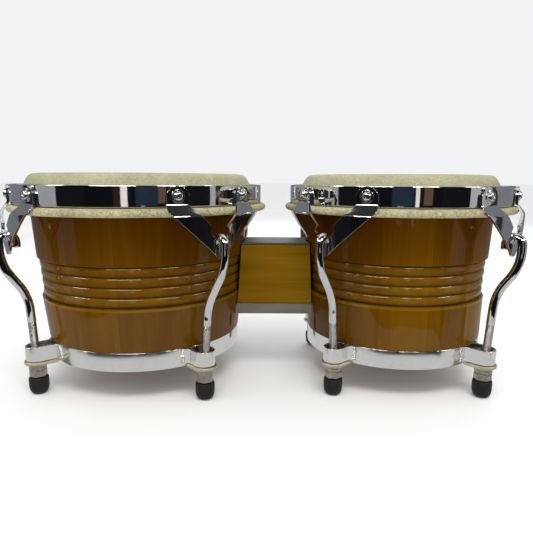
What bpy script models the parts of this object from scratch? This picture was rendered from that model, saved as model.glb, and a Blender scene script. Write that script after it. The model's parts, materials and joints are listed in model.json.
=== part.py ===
"""A pair of bongo drums joined by a centre block, standing on eight rubber feet.

World frame: +X runs from the larger drum to the smaller one, -Y is the side facing the
player's audience, +Z is up and the feet stand on z = 0. All lengths are in metres.
"""

import math
from collections import namedtuple

import bmesh
import bpy
from mathutils import Matrix, Vector

# ------------------------------------------------------------------ overall layout
AXIS_SPACING = 0.2431  # between the two drum axes
FIT_GAP = 0.0003  # air left between pieces that touch
RING_SEGMENTS = 40  # facets around each drum
BAR_SEGMENTS = 8  # facets around a tuning rod, rivet or bore
FOOT_SEGMENTS = 10

# ------------------------------------------------------------------ heights, floor up
FOOT_TOP = 0.0154
NUT_BOTTOM, NUT_TOP = 0.0157, 0.0271
LUG_PLATE_BOTTOM, LUG_PLATE_TOP = 0.0274, 0.0304
EAR_BOTTOM, EAR_TOP = 0.0308, 0.0437
RING_BOTTOM, RING_TOP = 0.0280, 0.0440
SHELL_BOTTOM = 0.0283
GROOVES_BOTTOM, GROOVES_TOP = 0.0825, 0.1165
RIM_BOTTOM, RIM_TOP = 0.1649, 0.1814
SHELL_TOP = 0.1890
HEAD_TOP = 0.1907

# ------------------------------------------------------------------ shells
WALL_HEIGHTS = (0.0283, 0.0442, 0.0825, 0.1165, 0.1560, 0.1820)
WALL_BOTTOM_THICKNESS = 0.0095
WALL_TOP_THICKNESS = 0.0110
BEAD_COUNT = 4
VALLEY_DEPTH = 0.0032
CREST_DEPTH = 0.0019
GROOVE_SHOULDER = 0.0006

# ------------------------------------------------------------------ heads and rims
SKIN_THICKNESS = 0.0014
RIM_THICKNESS = 0.0028
FLESH_HOOP_REACH = 0.0038  # how far the flesh hoop stands out past the rim
FLESH_HOOP_HALF_WIDTH = 0.0054
FLESH_HOOP_HALF_HEIGHT = 0.0035
FLESH_HOOP_HEIGHT = 0.1608

# ------------------------------------------------------------------ bottom rings
RING_THICKNESS = 0.0017
EAR_HALF_WIDTH = 0.0090
EAR_STRIP = 0.0019
EAR_FOOT_LENGTH = 0.0125  # from the lug line to the end of the welded foot
EAR_SINK = 0.0007  # weld depth into the ring

# ------------------------------------------------------------------ lug hardware
LUG_NAMES = ("front_left", "front_right", "back_right", "back_left")
ROD_RADIUS = 0.0036
THREAD_RADIUS = 0.0035
THREAD_TOP = 0.0650
ROD_END = 0.0080
SHANK_LEAN = 0.0030  # how far the threaded shank leans outward from the nut to the bend
SHANK_TOP = 0.0880
NUT_BORE = 0.0042
LUG_PLATE_BORE = 0.0046
FOOT_BORE = 0.0050
NUT_FLATS = 0.0130
LUG_PLATE_HALF_WIDTH = 0.0105
HOOK_BEND_RADIUS = 0.0064
HOOK_CENTRE_OUT = 0.0073  # centre of the hook's bend, outward of the rim face
HOOK_CENTRE_HEIGHT = 0.1342
HOOK_TIP_HEIGHT = 0.1300
OFFSET_BEND_TOP = 0.1170
OFFSET_BEND_ANGLE = math.radians(33.0)
OFFSET_BEND_RADIUS = 0.040

# ------------------------------------------------------------------ claws
CLAW_THICKNESS = 0.0022
TAB_CENTRE = 0.0316  # along the rim, from the lug line
TAB_HALF_WIDTH = 0.0087
TAB_TOP = 0.1810
CLAW_BEND_TOP = 0.1668
CLAW_BEND_BOTTOM = 0.1584
CROTCH_HEIGHT = 0.1364
CLAW_BOTTOM = 0.1245
RIVET_HEIGHT = 0.1733
RIVET_SHANK = 0.0018
RIVET_HOLE = 0.0024
RIVET_WASHER = 0.0052
RIVET_DOME = 0.0037
RIVET_TAIL = 0.0006

# ------------------------------------------------------------------ centre block
BLOCK_HALF_DEPTH = 0.0220
BLOCK_BOTTOM, BLOCK_TOP = 0.0702, 0.1262
BLOCK_LEFT_GAP = 0.0006
BLOCK_RIGHT_GAP = 0.0013
TOP_PLATE_THICKNESS = 0.0018
CHANNEL_THICKNESS = 0.0020
CHANNEL_BOTTOM = 0.0600
CHANNEL_BEND = 0.0005
BOLT_HEIGHTS = {"lower": 0.0885, "upper": 0.1120}
BOLT_RADIUS = 0.0030
BOLT_HOLE = 0.0034
BOLT_HEAD_RADIUS = 0.0065
BOLT_HEAD_HEIGHT = 0.0038
BOLT_REACH = 0.0180  # how deep each bolt runs into the block
BOLT_SEAT = 0.0013  # clearance under a flat head on the curved backing plate
BACKING_BOTTOM, BACKING_TOP = 0.0770, 0.1235
BACKING_THICKNESS = 0.0020

AXIS_TOLERANCE = 1e-6
SHARP_ANGLE = math.radians(38.0)

Drum = namedtuple("Drum", "name rim ring inset walls claws lugs rods inward")

LEFT = Drum(
    name="left",
    rim=0.1135,
    ring=0.0897,
    inset=0.0179,
    walls=(0.0890, 0.0901, 0.0941, 0.0963, 0.0987, 0.1000),
    claws=(-50.2, 42.8, 132.5, -139.4),
    lugs=(-50.4, 40.6, 134.5, -139.4),
    rods=(0.1052, 0.1020, 0.1025, 0.1050),
    inward=1.0,
)
RIGHT = Drum(
    name="right",
    rim=0.1023,
    ring=0.0822,
    inset=0.0192,
    walls=(0.0817, 0.0823, 0.0832, 0.0848, 0.0867, 0.0872),
    claws=(-44.6, 45.0, 135.0, -135.0),
    lugs=(-44.2, 42.0, 135.0, -132.5),
    rods=(0.0936, 0.0960, 0.0960, 0.0955),
    inward=-1.0,
)

FAR_RIGHT_REACH = RIGHT.rim + FLESH_HOOP_REACH
FAR_LEFT_REACH = LEFT.rim + FLESH_HOOP_REACH
LEFT_AXIS = (FAR_LEFT_REACH - FAR_RIGHT_REACH - AXIS_SPACING) / 2.0
AXES = {"left": LEFT_AXIS, "right": LEFT_AXIS + AXIS_SPACING}


# ------------------------------------------------------------------ scene helpers
def clear_scene():
    for item in list(bpy.data.objects):
        bpy.data.objects.remove(item, do_unlink=True)


def make_material(name, colour, metallic, roughness, coat=0.0):
    material = bpy.data.materials.new(name)
    material.use_nodes = True
    shader = material.node_tree.nodes["Principled BSDF"]
    shader.inputs["Base Color"].default_value = (*colour, 1.0)
    shader.inputs["Metallic"].default_value = metallic
    shader.inputs["Roughness"].default_value = roughness
    shader.inputs["Coat Weight"].default_value = coat
    return material


def make_empty(name, location):
    empty = bpy.data.objects.new(name, None)
    empty.empty_display_size = 0.02
    empty.location = location
    bpy.context.scene.collection.objects.link(empty)
    return empty


def object_from(name, mesh):
    """Turn a bmesh into a linked object with outward faces and free the bmesh."""
    bmesh.ops.recalc_face_normals(mesh, faces=mesh.faces[:])
    data = bpy.data.meshes.new(name)
    mesh.to_mesh(data)
    mesh.free()
    item = bpy.data.objects.new(name, data)
    bpy.context.scene.collection.objects.link(item)
    return item


def combine(item, tools, operation):
    """Apply one exact boolean per tool to an object, then remove the tools."""
    for tool in tools:
        modifier = item.modifiers.new("cut", "BOOLEAN")
        modifier.operation = operation
        modifier.solver = "EXACT"
        modifier.object = tool
    bpy.context.view_layer.update()
    graph = bpy.context.evaluated_depsgraph_get()
    result = bpy.data.meshes.new_from_object(item.evaluated_get(graph))
    item.modifiers.clear()
    old = item.data
    item.data = result
    bpy.data.meshes.remove(old)
    result.name = item.name
    for tool in tools:
        bpy.data.objects.remove(tool, do_unlink=True)


def finish(item, material, location=(0.0, 0.0, 0.0), turn=0.0, parent=None):
    """Place a finished piece, give it its material and shade its round faces smooth."""
    item.data.materials.clear()
    item.data.materials.append(material)
    for face in item.data.polygons:
        face.use_smooth = True
    item.data.set_sharp_from_angle(angle=SHARP_ANGLE)
    item.location = location
    item.rotation_euler = (0.0, 0.0, turn)
    if parent is not None:
        item.parent = parent
        item.location = Vector(location) - parent.location
    return item


# ------------------------------------------------------------------ shape helpers
def interpolate(value, stations):
    """Read a piecewise straight line given as (position, amount) pairs."""
    if value <= stations[0][0]:
        return stations[0][1]
    for (start, low), (end, high) in zip(stations, stations[1:]):
        if value <= end:
            return low + (high - low) * (value - start) / (end - start)
    return stations[-1][1]


def lathe(profile, segments):
    """Revolve a closed outline of (radius, height) points around the z axis."""
    mesh = bmesh.new()
    rings = []
    for radius, height in profile:
        if radius < AXIS_TOLERANCE:
            rings.append([mesh.verts.new((0.0, 0.0, height))] * segments)
            continue
        ring = []
        for step in range(segments):
            angle = math.tau * step / segments
            ring.append(mesh.verts.new((radius * math.cos(angle), radius * math.sin(angle), height)))
        rings.append(ring)
    for first, second in zip(rings, rings[1:] + rings[:1]):
        for step in range(segments):
            after = (step + 1) % segments
            corners = [first[step], first[after], second[after], second[step]]
            corners = list(dict.fromkeys(corners))
            if len(corners) > 2:
                mesh.faces.new(corners)
    return mesh


def prism(outline, bottom, top):
    """Extrude a closed outline of (x, y) points between two heights."""
    mesh = bmesh.new()
    lower = [mesh.verts.new((x, y, bottom)) for x, y in outline]
    upper = [mesh.verts.new((x, y, top)) for x, y in outline]
    mesh.faces.new(lower)
    mesh.faces.new(upper)
    for step in range(len(outline)):
        after = (step + 1) % len(outline)
        mesh.faces.new((lower[step], lower[after], upper[after], upper[step]))
    return mesh


def sweep(stations, segments):
    """Sweep a round bar along (x, z, radius) stations in the xz plane."""
    mesh = bmesh.new()
    points = [Vector((x, 0.0, z)) for x, z, _ in stations]
    rings = []
    for index, (_, _, radius) in enumerate(stations):
        before = points[max(index - 1, 0)]
        behind = points[min(index + 1, len(points) - 1)]
        along = Vector((0.0, 0.0, 0.0))
        if points[index] != before:
            along += (points[index] - before).normalized()
        if behind != points[index]:
            along += (behind - points[index]).normalized()
        along.normalize()
        across = Vector((-along.z, 0.0, along.x))
        ring = []
        for step in range(segments):
            angle = math.tau * (step + 0.5) / segments
            side = across * math.cos(angle) + Vector((0.0, math.sin(angle), 0.0))
            ring.append(mesh.verts.new(points[index] + side * radius))
        rings.append(ring)
    for first, second in zip(rings, rings[1:]):
        for step in range(segments):
            after = (step + 1) % segments
            mesh.faces.new((first[step], first[after], second[after], second[step]))
    mesh.faces.new(rings[0])
    mesh.faces.new(rings[-1])
    return mesh


def cylinder_tool(radius, bottom, top, matrix, segments=BAR_SEGMENTS):
    """A round cutter standing on its local z axis, moved by a matrix."""
    profile = ((0.0, bottom), (radius, bottom), (radius, top), (0.0, top))
    mesh = lathe(profile, segments)
    mesh.transform(matrix @ Matrix.Rotation(math.pi / segments, 4, "Z"))
    return object_from("tool", mesh)


def arc(centre_x, centre_y, radius, start, end, steps):
    """Points on an arc, with both ends included and angles in degrees."""
    points = []
    for step in range(steps + 1):
        angle = math.radians(start + (end - start) * step / steps)
        points.append((centre_x + radius * math.cos(angle), centre_y + radius * math.sin(angle)))
    return points


def offset_inward(line, distance):
    """Move an open (radius, height) line to its inner side by a distance."""
    moved = []
    for index, (radius, height) in enumerate(line):
        before = line[max(index - 1, 0)]
        behind = line[min(index + 1, len(line) - 1)]
        run = behind[0] - before[0]
        rise = behind[1] - before[1]
        length = math.hypot(run, rise)
        moved.append((max(radius + distance * rise / length, 0.0), height - distance * run / length))
    return moved


def lug_turn(azimuth):
    """Angle about z of a lug given in degrees from the front, positive to the right."""
    return math.radians(azimuth - 90.0)


def outward(angle):
    """Matrix taking local z to the outward direction at an angle about the drum axis."""
    return Matrix.Rotation(angle, 4, "Z") @ Matrix.Rotation(math.pi / 2.0, 4, "Y")


# ------------------------------------------------------------------ shells and heads
def outer_wall(drum, height):
    return interpolate(height, list(zip(WALL_HEIGHTS, drum.walls)))


def inner_wall(drum, height):
    bottom = outer_wall(drum, WALL_HEIGHTS[0]) - WALL_BOTTOM_THICKNESS
    top = outer_wall(drum, WALL_HEIGHTS[-1]) - WALL_TOP_THICKNESS
    return interpolate(height, ((WALL_HEIGHTS[0], bottom), (WALL_HEIGHTS[-1], top)))


def shell_profile(drum):
    """Closed section of a tapering shell with a carved band of beads."""
    rebate = drum.ring - RING_THICKNESS - FIT_GAP
    rebate_top = WALL_HEIGHTS[1]
    profile = [(rebate, SHELL_BOTTOM), (rebate, rebate_top)]
    profile.append((outer_wall(drum, rebate_top), rebate_top + FIT_GAP))
    profile.append((outer_wall(drum, GROOVES_BOTTOM), GROOVES_BOTTOM))
    low = GROOVES_BOTTOM + GROOVE_SHOULDER
    pitch = (GROOVES_TOP - GROOVE_SHOULDER - low) / BEAD_COUNT
    for half in range(2 * BEAD_COUNT + 1):
        height = low + pitch * half / 2.0
        depth = CREST_DEPTH if half % 2 else VALLEY_DEPTH
        profile.append((outer_wall(drum, height) - depth, height))
    for height in WALL_HEIGHTS[3:]:
        profile.append((outer_wall(drum, height), height))
    corner = drum.rim - drum.inset
    profile.append((corner + 0.0010, SHELL_TOP - 0.0026))
    profile.append((corner - 0.0004, SHELL_TOP - 0.0008))
    profile.append((corner - 0.0030, SHELL_TOP))
    profile.append((corner - 0.0057, SHELL_TOP))
    profile.append((inner_wall(drum, WALL_HEIGHTS[-1]), WALL_HEIGHTS[-1]))
    profile.append((inner_wall(drum, SHELL_BOTTOM), SHELL_BOTTOM))
    return profile


def build_shell(drum, material, axis):
    shell = object_from(drum.name + "_shell", lathe(shell_profile(drum), RING_SEGMENTS))
    inside = inner_wall(drum, SHELL_BOTTOM) - 0.005
    outside = drum.rim
    tools = []
    for height in BOLT_HEIGHTS.values():
        lift = Matrix.Translation((0.0, 0.0, height))
        matrix = lift @ Matrix.Rotation(drum.inward * math.pi / 2.0, 4, "Y")
        tools.append(cylinder_tool(BOLT_HOLE, inside, outside, matrix))
    combine(shell, tools, "DIFFERENCE")
    return finish(shell, material, axis)


def build_head(drum, material, axis):
    """Skin stretched flat over the bearing edge with a collar that turns down."""
    corner = drum.rim - drum.inset
    outer = [
        (0.0, HEAD_TOP),
        (corner - 0.0032, HEAD_TOP),
        (corner + 0.0002, HEAD_TOP - 0.0005),
        (corner + 0.0027, HEAD_TOP - 0.0021),
        (corner + 0.0048, HEAD_TOP - 0.0053),
        (corner + 0.0066, HEAD_TOP - 0.0093),
        (corner + 0.0094, HEAD_TOP - 0.0227),
    ]
    inner = offset_inward(outer, SKIN_THICKNESS)
    inner[0] = (0.0, HEAD_TOP - SKIN_THICKNESS)
    inner[1] = (inner[1][0], HEAD_TOP - SKIN_THICKNESS)
    head = object_from(drum.name + "_head", lathe(outer + inner[::-1], RING_SEGMENTS))
    return finish(head, material, axis)


def build_flesh_hoop(drum, material, axis, parent):
    """Rounded skin-wrapped hoop that the rim pulls down."""
    centre = drum.rim + FLESH_HOOP_REACH - FLESH_HOOP_HALF_WIDTH
    profile = []
    for step in range(8):
        angle = math.tau * step / 8.0
        radius = centre + FLESH_HOOP_HALF_WIDTH * math.cos(angle)
        profile.append((radius, FLESH_HOOP_HEIGHT + FLESH_HOOP_HALF_HEIGHT * math.sin(angle)))
    hoop = object_from(drum.name + "_flesh_hoop", lathe(profile, RING_SEGMENTS))
    return finish(hoop, material, axis, parent=parent)


def rivet_angles(drum):
    angles = []
    for azimuth in drum.claws:
        for side in (-1.0, 1.0):
            angles.append(lug_turn(azimuth) + side * TAB_CENTRE / drum.rim)
    return angles


def build_rim(drum, material, axis, parent):
    """Flat steel band with a hole for each claw rivet."""
    inner = drum.rim - RIM_THICKNESS
    profile = ((inner, RIM_BOTTOM), (drum.rim, RIM_BOTTOM), (drum.rim, RIM_TOP), (inner, RIM_TOP))
    rim = object_from(drum.name + "_rim", lathe(profile, RING_SEGMENTS))
    tools = []
    for angle in rivet_angles(drum):
        matrix = Matrix.Translation((0.0, 0.0, RIVET_HEIGHT)) @ outward(angle)
        tools.append(cylinder_tool(RIVET_HOLE, inner - 0.002, drum.rim + 0.002, matrix))
    combine(rim, tools, "DIFFERENCE")
    return finish(rim, material, axis, parent=parent)


# ------------------------------------------------------------------ bottom ring and ears
def ear_outline(drum, rod):
    """Bent strip around the rod with two feet that lie on the ring."""
    sunk = drum.ring - EAR_SINK
    proud = drum.ring + EAR_STRIP
    inside = EAR_HALF_WIDTH - EAR_STRIP

    def on_ring(radius, along):
        angle = along / drum.ring
        return (radius * math.cos(angle), radius * math.sin(angle))

    side = [
        on_ring(sunk, EAR_FOOT_LENGTH),
        on_ring(proud, EAR_FOOT_LENGTH),
        on_ring(proud, EAR_HALF_WIDTH + 0.0020),
        (proud + 0.0018, EAR_HALF_WIDTH),
    ]
    outer = arc(rod, 0.0, EAR_HALF_WIDTH, 90.0, -90.0, 6)
    inner = arc(rod, 0.0, inside, -90.0, 90.0, 6)
    other_side = [(x, -y) for x, y in reversed(side)]
    pocket_low = [on_ring(sunk, -inside)]
    pocket_high = [on_ring(sunk, inside)]
    return side + outer + other_side + pocket_low + inner + pocket_high


def build_bottom_ring(drum, material, axis):
    inner = drum.ring - RING_THICKNESS
    profile = ((inner, RING_BOTTOM), (drum.ring, RING_BOTTOM), (drum.ring, RING_TOP), (inner, RING_TOP))
    ring = object_from(drum.name + "_bottom_ring", lathe(profile, RING_SEGMENTS))
    ears = []
    for azimuth, rod in zip(drum.lugs, drum.rods):
        mesh = prism(ear_outline(drum, rod), EAR_BOTTOM, EAR_TOP)
        mesh.transform(Matrix.Rotation(lug_turn(azimuth), 4, "Z"))
        ears.append(object_from("ear", mesh))
    combine(ring, ears, "UNION")
    return finish(ring, material, axis)


# ------------------------------------------------------------------ claws
def claw_half_outline():
    """Right half of the flattened claw, from the crotch round to the bottom point."""
    inner_edge = TAB_CENTRE - TAB_HALF_WIDTH
    outer_edge = TAB_CENTRE + TAB_HALF_WIDTH
    shoulder = TAB_TOP - TAB_HALF_WIDTH
    points = [
        (0.0, CROTCH_HEIGHT),
        (0.0027, CROTCH_HEIGHT + 0.0009),
        (0.0043, CROTCH_HEIGHT + 0.0032),
        (0.0090, CROTCH_HEIGHT + 0.0084),
        (0.0070, CROTCH_HEIGHT + 0.0123),
        (inner_edge, CLAW_BEND_TOP - 0.0012),
    ]
    points += arc(TAB_CENTRE, shoulder, TAB_HALF_WIDTH, 180.0, 0.0, 4)
    points += [
        (outer_edge, 0.1632),
        (outer_edge - 0.0014, 0.1603),
        (0.0046, CLAW_BOTTOM + 0.0025),
        (0.0027, CLAW_BOTTOM + 0.0007),
        (0.0, CLAW_BOTTOM),
    ]
    return points


def claw_setback(height):
    """How far the claw's inner face stands out from the rim at a height."""
    stations = (
        (CLAW_BOTTOM, 0.0056),
        (CROTCH_HEIGHT, 0.0062),
        (CLAW_BEND_BOTTOM, 0.0064),
        (CLAW_BEND_TOP, FIT_GAP),
    )
    return interpolate(height, stations)


def claw_plate(drum):
    """Stamped steel claw, rolled to the curve of the rim and stepped over the flesh hoop."""
    half = claw_half_outline()
    outline = half + [(-across, height) for across, height in half[-2:0:-1]]
    flat = bmesh.new()
    flat.faces.new([flat.verts.new((across, 0.0, height)) for across, height in outline])
    cuts = [((0.0, 0.0, height), (0.0, 0.0, 1.0)) for height in
            (CROTCH_HEIGHT, CLAW_BEND_BOTTOM, CLAW_BEND_TOP)]
    for across in (-TAB_CENTRE, -0.020, 0.0, 0.020, TAB_CENTRE):
        cuts.append(((across, 0.0, 0.0), (1.0, 0.0, 0.0)))
    for place, normal in cuts:
        geometry = flat.verts[:] + flat.edges[:] + flat.faces[:]
        bmesh.ops.bisect_plane(flat, geom=geometry, plane_co=place, plane_no=normal)
    bmesh.ops.triangulate(flat, faces=flat.faces[:])
    flat.verts.index_update()

    mesh = bmesh.new()
    layers = []
    for depth in (0.0, CLAW_THICKNESS):
        layer = []
        for vertex in flat.verts:
            angle = vertex.co.x / drum.rim
            radius = drum.rim + claw_setback(vertex.co.z) + depth
            place = (radius * math.cos(angle), radius * math.sin(angle), vertex.co.z)
            layer.append(mesh.verts.new(place))
        layers.append(layer)
    back, front = layers
    for face in flat.faces:
        corners = [vertex.index for vertex in face.verts]
        mesh.faces.new([front[corner] for corner in corners])
        mesh.faces.new([back[corner] for corner in reversed(corners)])
    for edge in flat.edges:
        if edge.is_boundary:
            first, second = (vertex.index for vertex in edge.verts)
            mesh.faces.new((back[first], back[second], front[second], front[first]))
    flat.free()
    return mesh


def rivet_mesh(drum, angle):
    """Domed rivet on a washer, with its shank through the claw tab and the rim."""
    base = drum.rim + FIT_GAP + CLAW_THICKNESS
    profile = (
        (0.0, drum.rim - RIM_THICKNESS - RIVET_TAIL),
        (RIVET_SHANK, drum.rim - RIM_THICKNESS - RIVET_TAIL),
        (RIVET_SHANK, base - 0.0006),
        (RIVET_WASHER, base - 0.0006),
        (RIVET_WASHER, base + 0.0007),
        (RIVET_DOME, base + 0.0009),
        (RIVET_DOME * 0.66, base + 0.0024),
        (0.0, base + 0.0029),
    )
    mesh = lathe(profile, BAR_SEGMENTS)
    mesh.transform(Matrix.Translation((0.0, 0.0, RIVET_HEIGHT)) @ outward(angle))
    return mesh


def build_claw(drum, lug, azimuth, material, axis, parent):
    claw = object_from(f"{drum.name}_claw_{lug}", claw_plate(drum))
    rivets = []
    for side in (-1.0, 1.0):
        rivets.append(object_from("rivet", rivet_mesh(drum, side * TAB_CENTRE / drum.rim)))
    combine(claw, rivets, "UNION")
    return finish(claw, material, axis, lug_turn(azimuth), parent)


# ------------------------------------------------------------------ tuning rods
def fillet(before, corner, after, radius, steps):
    """Points rounding the corner of a path in the xz plane."""
    before, corner, after = Vector(before), Vector(corner), Vector(after)
    incoming = (corner - before).normalized()
    outgoing = (after - corner).normalized()
    half = incoming.angle(outgoing) / 2.0
    start = corner - incoming * radius * math.tan(half)
    end = corner + outgoing * radius * math.tan(half)
    centre = corner + (outgoing - incoming).normalized() * radius / math.cos(half)
    points = []
    for step in range(steps + 1):
        blend = (start - centre).lerp(end - centre, step / steps).normalized()
        points.append(tuple(centre + blend * radius))
    return points


def rod_stations(drum, shank):
    """Path of a hooked rod: tip, hook, outer leg, offset bend, threaded end."""
    hook_x = drum.rim + HOOK_CENTRE_OUT
    outer_x = hook_x + HOOK_BEND_RADIUS
    inner_x = hook_x - HOOK_BEND_RADIUS
    upper = (outer_x, OFFSET_BEND_TOP)
    lower = (shank, OFFSET_BEND_TOP - (outer_x - shank) / math.tan(OFFSET_BEND_ANGLE))
    stations = [
        (inner_x, HOOK_TIP_HEIGHT, ROD_RADIUS * 0.72),
        (inner_x, HOOK_TIP_HEIGHT + 0.0009, ROD_RADIUS),
    ]
    for x, z in arc(hook_x, HOOK_CENTRE_HEIGHT, HOOK_BEND_RADIUS, 180.0, 0.0, 6):
        stations.append((x, z, ROD_RADIUS))
    start = (outer_x, HOOK_CENTRE_HEIGHT)
    end = (shank, THREAD_TOP)
    for x, z in fillet(start, upper, lower, OFFSET_BEND_RADIUS, 4):
        stations.append((x, z, ROD_RADIUS))
    for x, z in fillet(upper, lower, end, OFFSET_BEND_RADIUS, 4):
        stations.append((x, z, ROD_RADIUS))
    stations.append((shank, THREAD_TOP, ROD_RADIUS))
    stations.append((shank, THREAD_TOP - 0.0004, THREAD_RADIUS))
    stations.append((shank, ROD_END + 0.0010, THREAD_RADIUS))
    stations.append((shank, ROD_END, THREAD_RADIUS * 0.75))
    return stations


def lean_rod(mesh, radius, aside):
    """Lean a straight rod so that it meets its nut: inward below the bend, sideways all along."""
    nut_middle = (NUT_BOTTOM + NUT_TOP) / 2.0
    for vertex in mesh.verts:
        below_bend = max(0.0, SHANK_TOP - vertex.co.z) / (SHANK_TOP - nut_middle)
        below_hook = max(0.0, HOOK_CENTRE_HEIGHT - vertex.co.z) / (HOOK_CENTRE_HEIGHT - nut_middle)
        vertex.co.x -= SHANK_LEAN * below_bend
        vertex.co.x -= radius * (1.0 - math.cos(aside)) * below_hook
        vertex.co.y += radius * math.sin(aside) * below_hook


def build_rod(drum, lug, claw_azimuth, lug_azimuth, radius, material, axis, parent):
    mesh = sweep(rod_stations(drum, radius + SHANK_LEAN), BAR_SEGMENTS)
    lean_rod(mesh, radius, math.radians(lug_azimuth - claw_azimuth))
    rod = object_from(f"{drum.name}_rod_{lug}", mesh)
    return finish(rod, material, axis, lug_turn(claw_azimuth), parent)


# ------------------------------------------------------------------ nuts, plates, feet
def build_lug_plate(drum, lug, azimuth, radius, material, axis):
    inner = drum.ring + FIT_GAP
    outline = arc(radius, 0.0, LUG_PLATE_HALF_WIDTH, 90.0, -90.0, 6)
    outline += [(inner, -LUG_PLATE_HALF_WIDTH), (inner, LUG_PLATE_HALF_WIDTH)]
    mesh = prism(outline, LUG_PLATE_BOTTOM, LUG_PLATE_TOP)
    plate = object_from(f"{drum.name}_lug_plate_{lug}", mesh)
    matrix = Matrix.Translation((radius, 0.0, 0.0))
    bore = cylinder_tool(LUG_PLATE_BORE, LUG_PLATE_BOTTOM - 0.002, LUG_PLATE_TOP + 0.002, matrix)
    combine(plate, [bore], "DIFFERENCE")
    return finish(plate, material, axis, lug_turn(azimuth))


def build_nut(drum, lug, place, turn, material):
    """Hexagon tuning nut, its origin on the rod's axis."""
    corner = NUT_FLATS / 2.0 / math.cos(math.pi / 6.0)
    outline = arc(0.0, 0.0, corner, 0.0, 300.0, 5)
    mesh = prism(outline, NUT_BOTTOM, NUT_TOP)
    nut = object_from(f"{drum.name}_nut_{lug}", mesh)
    bore = cylinder_tool(NUT_BORE, NUT_BOTTOM - 0.002, NUT_TOP + 0.002, Matrix.Identity(4))
    combine(nut, [bore], "DIFFERENCE")
    return finish(nut, material, place, turn)


def build_foot(drum, lug, place, turn, material, nut):
    """Rubber cap pushed onto the nut's lower end, bored for the end of the rod."""
    profile = (
        (0.0, 0.0),
        (0.0040, 0.0),
        (0.0066, 0.0013),
        (0.0080, 0.0046),
        (0.0083, 0.0130),
        (0.0077, FOOT_TOP),
        (FOOT_BORE, FOOT_TOP),
        (FOOT_BORE, 0.0045),
        (0.0, 0.0045),
    )
    foot = object_from(f"{drum.name}_foot_{lug}", lathe(profile, FOOT_SEGMENTS))
    foot = finish(foot, material, place, 0.0, nut)
    foot.rotation_euler = (0.0, 0.0, -turn)
    return foot


# ------------------------------------------------------------------ centre block
def between_shells(columns, left_gap, right_gap):
    """Solid spanning the shells, given as (y, bottom, top) columns across its depth."""
    mesh = bmesh.new()
    corners = []
    for y, bottom, top in columns:
        column = []
        for height in (bottom, top):
            left_reach = outer_wall(LEFT, height) + left_gap
            right_reach = outer_wall(RIGHT, height) + right_gap
            left_x = AXES["left"] + math.sqrt(left_reach**2 - y**2)
            right_x = AXES["right"] - math.sqrt(right_reach**2 - y**2)
            column.append(mesh.verts.new((left_x, y, height)))
            column.append(mesh.verts.new((right_x, y, height)))
        corners.append(column)
    for first, second in zip(corners, corners[1:]):
        for here, there in ((0, 1), (1, 3), (3, 2), (2, 0)):
            mesh.faces.new((first[here], first[there], second[there], second[here]))
    for column in (corners[0], corners[-1]):
        mesh.faces.new((column[0], column[1], column[3], column[2]))
    bmesh.ops.triangulate(mesh, faces=mesh.faces[:])
    return mesh


def depth_columns(half_depth, bottom, top, count=7):
    columns = []
    for step in range(count):
        y = half_depth * (2.0 * step / (count - 1) - 1.0)
        columns.append((y, bottom, top))
    return columns


def bolt_seat(drum, height):
    """Distance from the drum axis to the underside of a bolt head."""
    return inner_wall(drum, height) - FIT_GAP - BACKING_THICKNESS - BOLT_SEAT


def bolt_tip(drum, height):
    gap = BLOCK_LEFT_GAP if drum is LEFT else BLOCK_RIGHT_GAP
    return outer_wall(drum, height) + gap + BOLT_REACH


def bolt_matrix(drum, height):
    """Local z runs from the drum axis towards the block."""
    lift = Matrix.Translation((AXES[drum.name], 0.0, height))
    return lift @ Matrix.Rotation(drum.inward * math.pi / 2.0, 4, "Y")


def build_block(material):
    mesh = between_shells(
        depth_columns(BLOCK_HALF_DEPTH, BLOCK_BOTTOM, BLOCK_TOP), BLOCK_LEFT_GAP, BLOCK_RIGHT_GAP
    )
    block = object_from("centre_block", mesh)
    tools = []
    for drum in (LEFT, RIGHT):
        for height in BOLT_HEIGHTS.values():
            start = outer_wall(drum, height) - 0.004
            end = bolt_tip(drum, height) + 0.0008
            tools.append(cylinder_tool(BOLT_HOLE, start, end, bolt_matrix(drum, height)))
    combine(block, tools, "DIFFERENCE")
    return finish(block, material)


def build_top_plate(material):
    bottom = BLOCK_TOP + FIT_GAP
    columns = depth_columns(BLOCK_HALF_DEPTH - 0.0003, bottom, bottom + TOP_PLATE_THICKNESS)
    mesh = between_shells(columns, BLOCK_LEFT_GAP + 0.0003, BLOCK_RIGHT_GAP)
    return finish(object_from("centre_top_plate", mesh), material)


def build_channel(material):
    """Steel channel under the block with both flanges turned down."""
    top = BLOCK_BOTTOM - FIT_GAP
    web_depth = BLOCK_HALF_DEPTH - CHANNEL_BEND
    web = between_shells(
        depth_columns(web_depth, top - CHANNEL_THICKNESS, top), BLOCK_LEFT_GAP, BLOCK_RIGHT_GAP
    )
    channel = object_from("centre_channel", web)
    flanges = []
    for side in (-1.0, 1.0):
        outer = side * BLOCK_HALF_DEPTH
        inner = side * (BLOCK_HALF_DEPTH - CHANNEL_THICKNESS)
        columns = [(y, CHANNEL_BOTTOM, top - CHANNEL_BEND) for y in sorted((outer, inner))]
        flange = between_shells(columns, BLOCK_LEFT_GAP, BLOCK_RIGHT_GAP)
        flanges.append(object_from("flange", flange))
    combine(channel, flanges, "UNION")
    return finish(channel, material)


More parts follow.
